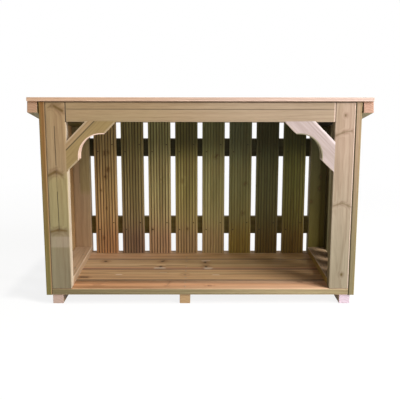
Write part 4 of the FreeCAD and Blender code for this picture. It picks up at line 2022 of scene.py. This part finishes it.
    def _floor(self) -> None:
        """Fasten the floor boards, the posts' feet and the bottom rails."""
        boards = [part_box("floor_board_%d" % number) for number in range(1, FLOOR_BOARDS + 1)]
        under, top = boards[0][0].z, boards[0][1].z
        floor, feet, rails = [], [], []
        for name in ("left", "middle", "right"):
            x = middle("bearer_" + name).x
            for low, high in boards:
                for y in (low.y + self.floor_inset, high.y - self.floor_inset):
                    floor.append((Vector((x, y, top)), UP))
        for name, side in SIDES.items():
            x = (side_face("front_post_" + name, -side) + side_face("bearer_" + name, -side)) / 2
            for post in ("front_post_", "rear_post_"):
                feet.append((Vector((x, middle(post + name).y, under)), -UP))
            low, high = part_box("side_bottom_rail_" + name)
            for y in (low.y + self.rail_inset, high.y - self.rail_inset):
                rails.append((Vector((x, y, high.z)), UP))
        self._group("floor_screws", Head.COUNTERSUNK, self.floor_screw, floor)
        self._group("post_screws", Head.COUNTERSUNK, self.post_screw, feet)
        self._group("bottom_rail_screws", Head.COUNTERSUNK, self.floor_screw, rails)

    def _frame(self) -> None:
        """Fasten the lintel, the back rails and the brackets."""
        lintel, back, brackets = [], [], []
        level = middle("lintel").z
        for name, side in SIDES.items():
            out = Vector((side, 0, 0))
            post = "front_post_" + name
            x, y = side_face(post, side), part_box(post)[0].y + self.lintel_setback
            for lift in (-self.lintel_spread / 2, self.lintel_spread / 2):
                lintel.append((Vector((x, y, level + lift)), out))
            for rail in BACK_RAILS:
                back.append((Vector((x, middle(rail).y, middle(rail).z)), out))
            brackets += self.brackets.seats(name)
        self._group("lintel_screws", Head.COUNTERSUNK, self.frame_screw, lintel)
        self._group("back_rail_screws", Head.COUNTERSUNK, self.frame_screw, back)
        self._group("bracket_screws", Head.PAN, self.bracket_screw, brackets)

    def _walls(self) -> None:
        """Fasten the slats of the back and the sides."""
        back, sides = [], []
        for number in range(1, BACK_SLATS + 1):
            slat = "back_slat_%d" % number
            for rail in BACK_RAILS:
                for side in (-1, 1):
                    x = middle(slat).x + side * self.nail_offset
                    z = middle(rail).z + side * self.nail_stagger
                    back.append((Vector((x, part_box(slat)[0].y, z)), Vector((0, -1, 0))))
        floor_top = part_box("floor_board_1")[1].z
        post_low, post_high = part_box("front_post_left")
        for name, side in SIDES.items():
            for number in range(1, SIDE_SLATS + 1):
                slat = "side_slat_%s_%d" % (name, number)
                for shift in (-self.nail_offset, self.nail_offset):
                    y = middle(slat).y + shift
                    roof_under = post_high.z - (y - post_low.y) * FALL
                    for z in (floor_top + RAIL_THICKNESS / 2, roof_under - RAIL_THICKNESS / 2):
                        sides.append((Vector((side_face(slat, side), y, z)), Vector((side, 0, 0))))
        self._group("back_slat_nails", Head.NAIL, self.nail, back)
        self._group("side_slat_nails", Head.NAIL, self.nail, sides)

    def _roof(self) -> None:
        """Fasten the roof boards."""
        roof = self.roof
        out = Matrix.Rotation(-SLOPE, 3, "X") @ UP
        batten, rail = middle("roof_batten_right").x, middle("side_top_rail_right").x
        spots = []
        for side in (-1, 1):
            for number in range(roof.boards):
                begin, end = number * roof.cover, (number + 1) * roof.cover
                edges = ((batten, begin + self.roof_inset), (batten, end - self.roof_inset))
                for x, down in (*edges, (rail, (begin + end) / 2)):
                    spots.append((roof.point(side * x, down, roof.thickness), out))
        self._group("roof_screws", Head.COUNTERSUNK, self.roof_screw, spots)


@dataclass
class Studio:
    """Pale floor, soft light and the camera."""

    lens: float = 60.44
    sensor: float = 36.0
    camera_place: tuple[float, float, float] = (-0.01114, -2.60334, 0.83218)
    pitch: float = 10.907
    yaw: float = 0.235
    roll: float = 0.068
    sky_strength: float = 0.25
    sun_strength: float = 1.6
    sun_angle: float = 4.0
    sun_colour: tuple[float, float, float] = (1.0, 0.96, 0.9)
    sun_place: tuple[float, float, float] = (0.0, 0.0, 3.0)
    sun_travel: tuple[float, float, float] = (-115.0, 65.0, -600.0)
    key_power: float = 190.0
    key_place: tuple[float, float, float] = (2.7, -2.3, 2.5)
    key_aim: tuple[float, float, float] = (0.0, 0.0, 0.35)
    key_size: float = 2.0
    floor_size: float = 30.0
    floor_paint: Colour = (0.86, 0.86, 0.86, 1.0)
    floor_glow: float = 0.85
    shadow_reach: float = 1.1
    fade_reach: float = 3.0

    def build(self) -> None:
        """Set the stage."""
        bpy.context.scene.view_settings.view_transform = "Standard"
        self._camera()
        self._sky()
        self._lamps()
        self._floor()

    def _camera(self) -> None:
        """Stand the camera where the photograph was taken."""
        data = bpy.data.cameras.new("camera")
        data.sensor_width = self.sensor
        data.lens = self.lens
        turn = Matrix.Rotation(-math.radians(self.yaw), 4, "Z")
        turn = turn @ Matrix.Rotation(QUARTER_TURN - math.radians(self.pitch), 4, "X")
        turn = turn @ Matrix.Rotation(math.radians(self.roll), 4, "Z")
        camera = placed(data, "camera")
        camera.matrix_world = Matrix.Translation(self.camera_place) @ turn
        bpy.context.scene.camera = camera

    @staticmethod
    def _backdrop_rays(sketch: NodeSketch) -> Wire:
        """Give one for the rays that should meet a white background."""
        camera = sketch.node("ShaderNodeLightPath", output="Is Camera Ray")
        return camera.largest(camera.other("Is Glossy Ray")).largest(camera.other("Is Transmission Ray"))

    def _sky(self) -> None:
        """Light the scene evenly, with a white background."""
        world = bpy.data.worlds.new("sky")
        sketch = fresh(world)
        light, white = (
            sketch.node("ShaderNodeBackground", {"Color": WHITE, "Strength": strength})
            for strength in (self.sky_strength, 1.0)
        )
        mixed = sketch.node("ShaderNodeMixShader", {0: self._backdrop_rays(sketch), 1: light, 2: white})
        sketch.add("ShaderNodeOutputWorld", {"Surface": mixed})
        bpy.context.scene.world = world

    def _lamps(self) -> None:
        """Hang the high lamp and the soft key lamp at the front right."""
        sun = bpy.data.lights.new("high_lamp", "SUN")
        sun.energy = self.sun_strength
        sun.angle = math.radians(self.sun_angle)
        sun.color = self.sun_colour
        self._hang(sun, Vector(self.sun_place), Vector(self.sun_travel))
        key = bpy.data.lights.new("key_lamp", "AREA")
        key.energy = self.key_power
        key.size = self.key_size
        self._hang(key, Vector(self.key_place), Vector(self.key_aim) - Vector(self.key_place))

    @staticmethod
    def _hang(data: bpy.types.Light, place: Vector, way: Vector) -> None:
        """Put a lamp in its place, shining one way."""
        turn = way.to_track_quat("-Z", "Y").to_matrix().to_4x4()
        placed(data, data.name).matrix_world = Matrix.Translation(place) @ turn

    def _floor(self) -> None:
        """Lay the floor, which keeps a soft shadow and fades to the background's white."""
        half = self.floor_size / 2
        mesh = bpy.data.meshes.new("studio_floor")
        corners = [(-half, -half, 0), (half, -half, 0), (half, half, 0), (-half, half, 0)]
        mesh.from_pydata(corners, [], [(0, 1, 2, 3)])
        made = bpy.data.materials.new("studio_floor")
        sketch = fresh(made)
        paint = sketch.node("ShaderNodeBsdfDiffuse", {"Color": self.floor_paint})
        white = sketch.node("ShaderNodeEmission", {"Color": WHITE, "Strength": 1.0})
        x, y, _ = sketch.split(sketch.seen())
        far = (x * x + y * y).root().smooth(self.shadow_reach, self.fade_reach)
        share = self._backdrop_rays(sketch) * (self.floor_glow + far * (1 - self.floor_glow))
        mixed = sketch.node("ShaderNodeMixShader", {0: share, 1: paint, 2: white})
        sketch.add("ShaderNodeOutputMaterial", {"Surface": mixed})
        mesh.materials.append(made)
        floor = placed(mesh, "studio_floor")


def main() -> None:
    """Build the log store's pieces and its studio."""
    logging.basicConfig(level=logging.INFO, format="%(name)s: %(message)s")
    brackets, roof = Brackets(), Roof()
    for assembly in (Base(), Frame(), brackets, Walls(), roof, Fasteners(roof, brackets), Studio()):
        log.info("building %s", type(assembly).__name__)
        assembly.build()


if __name__ == "__main__":
    main()
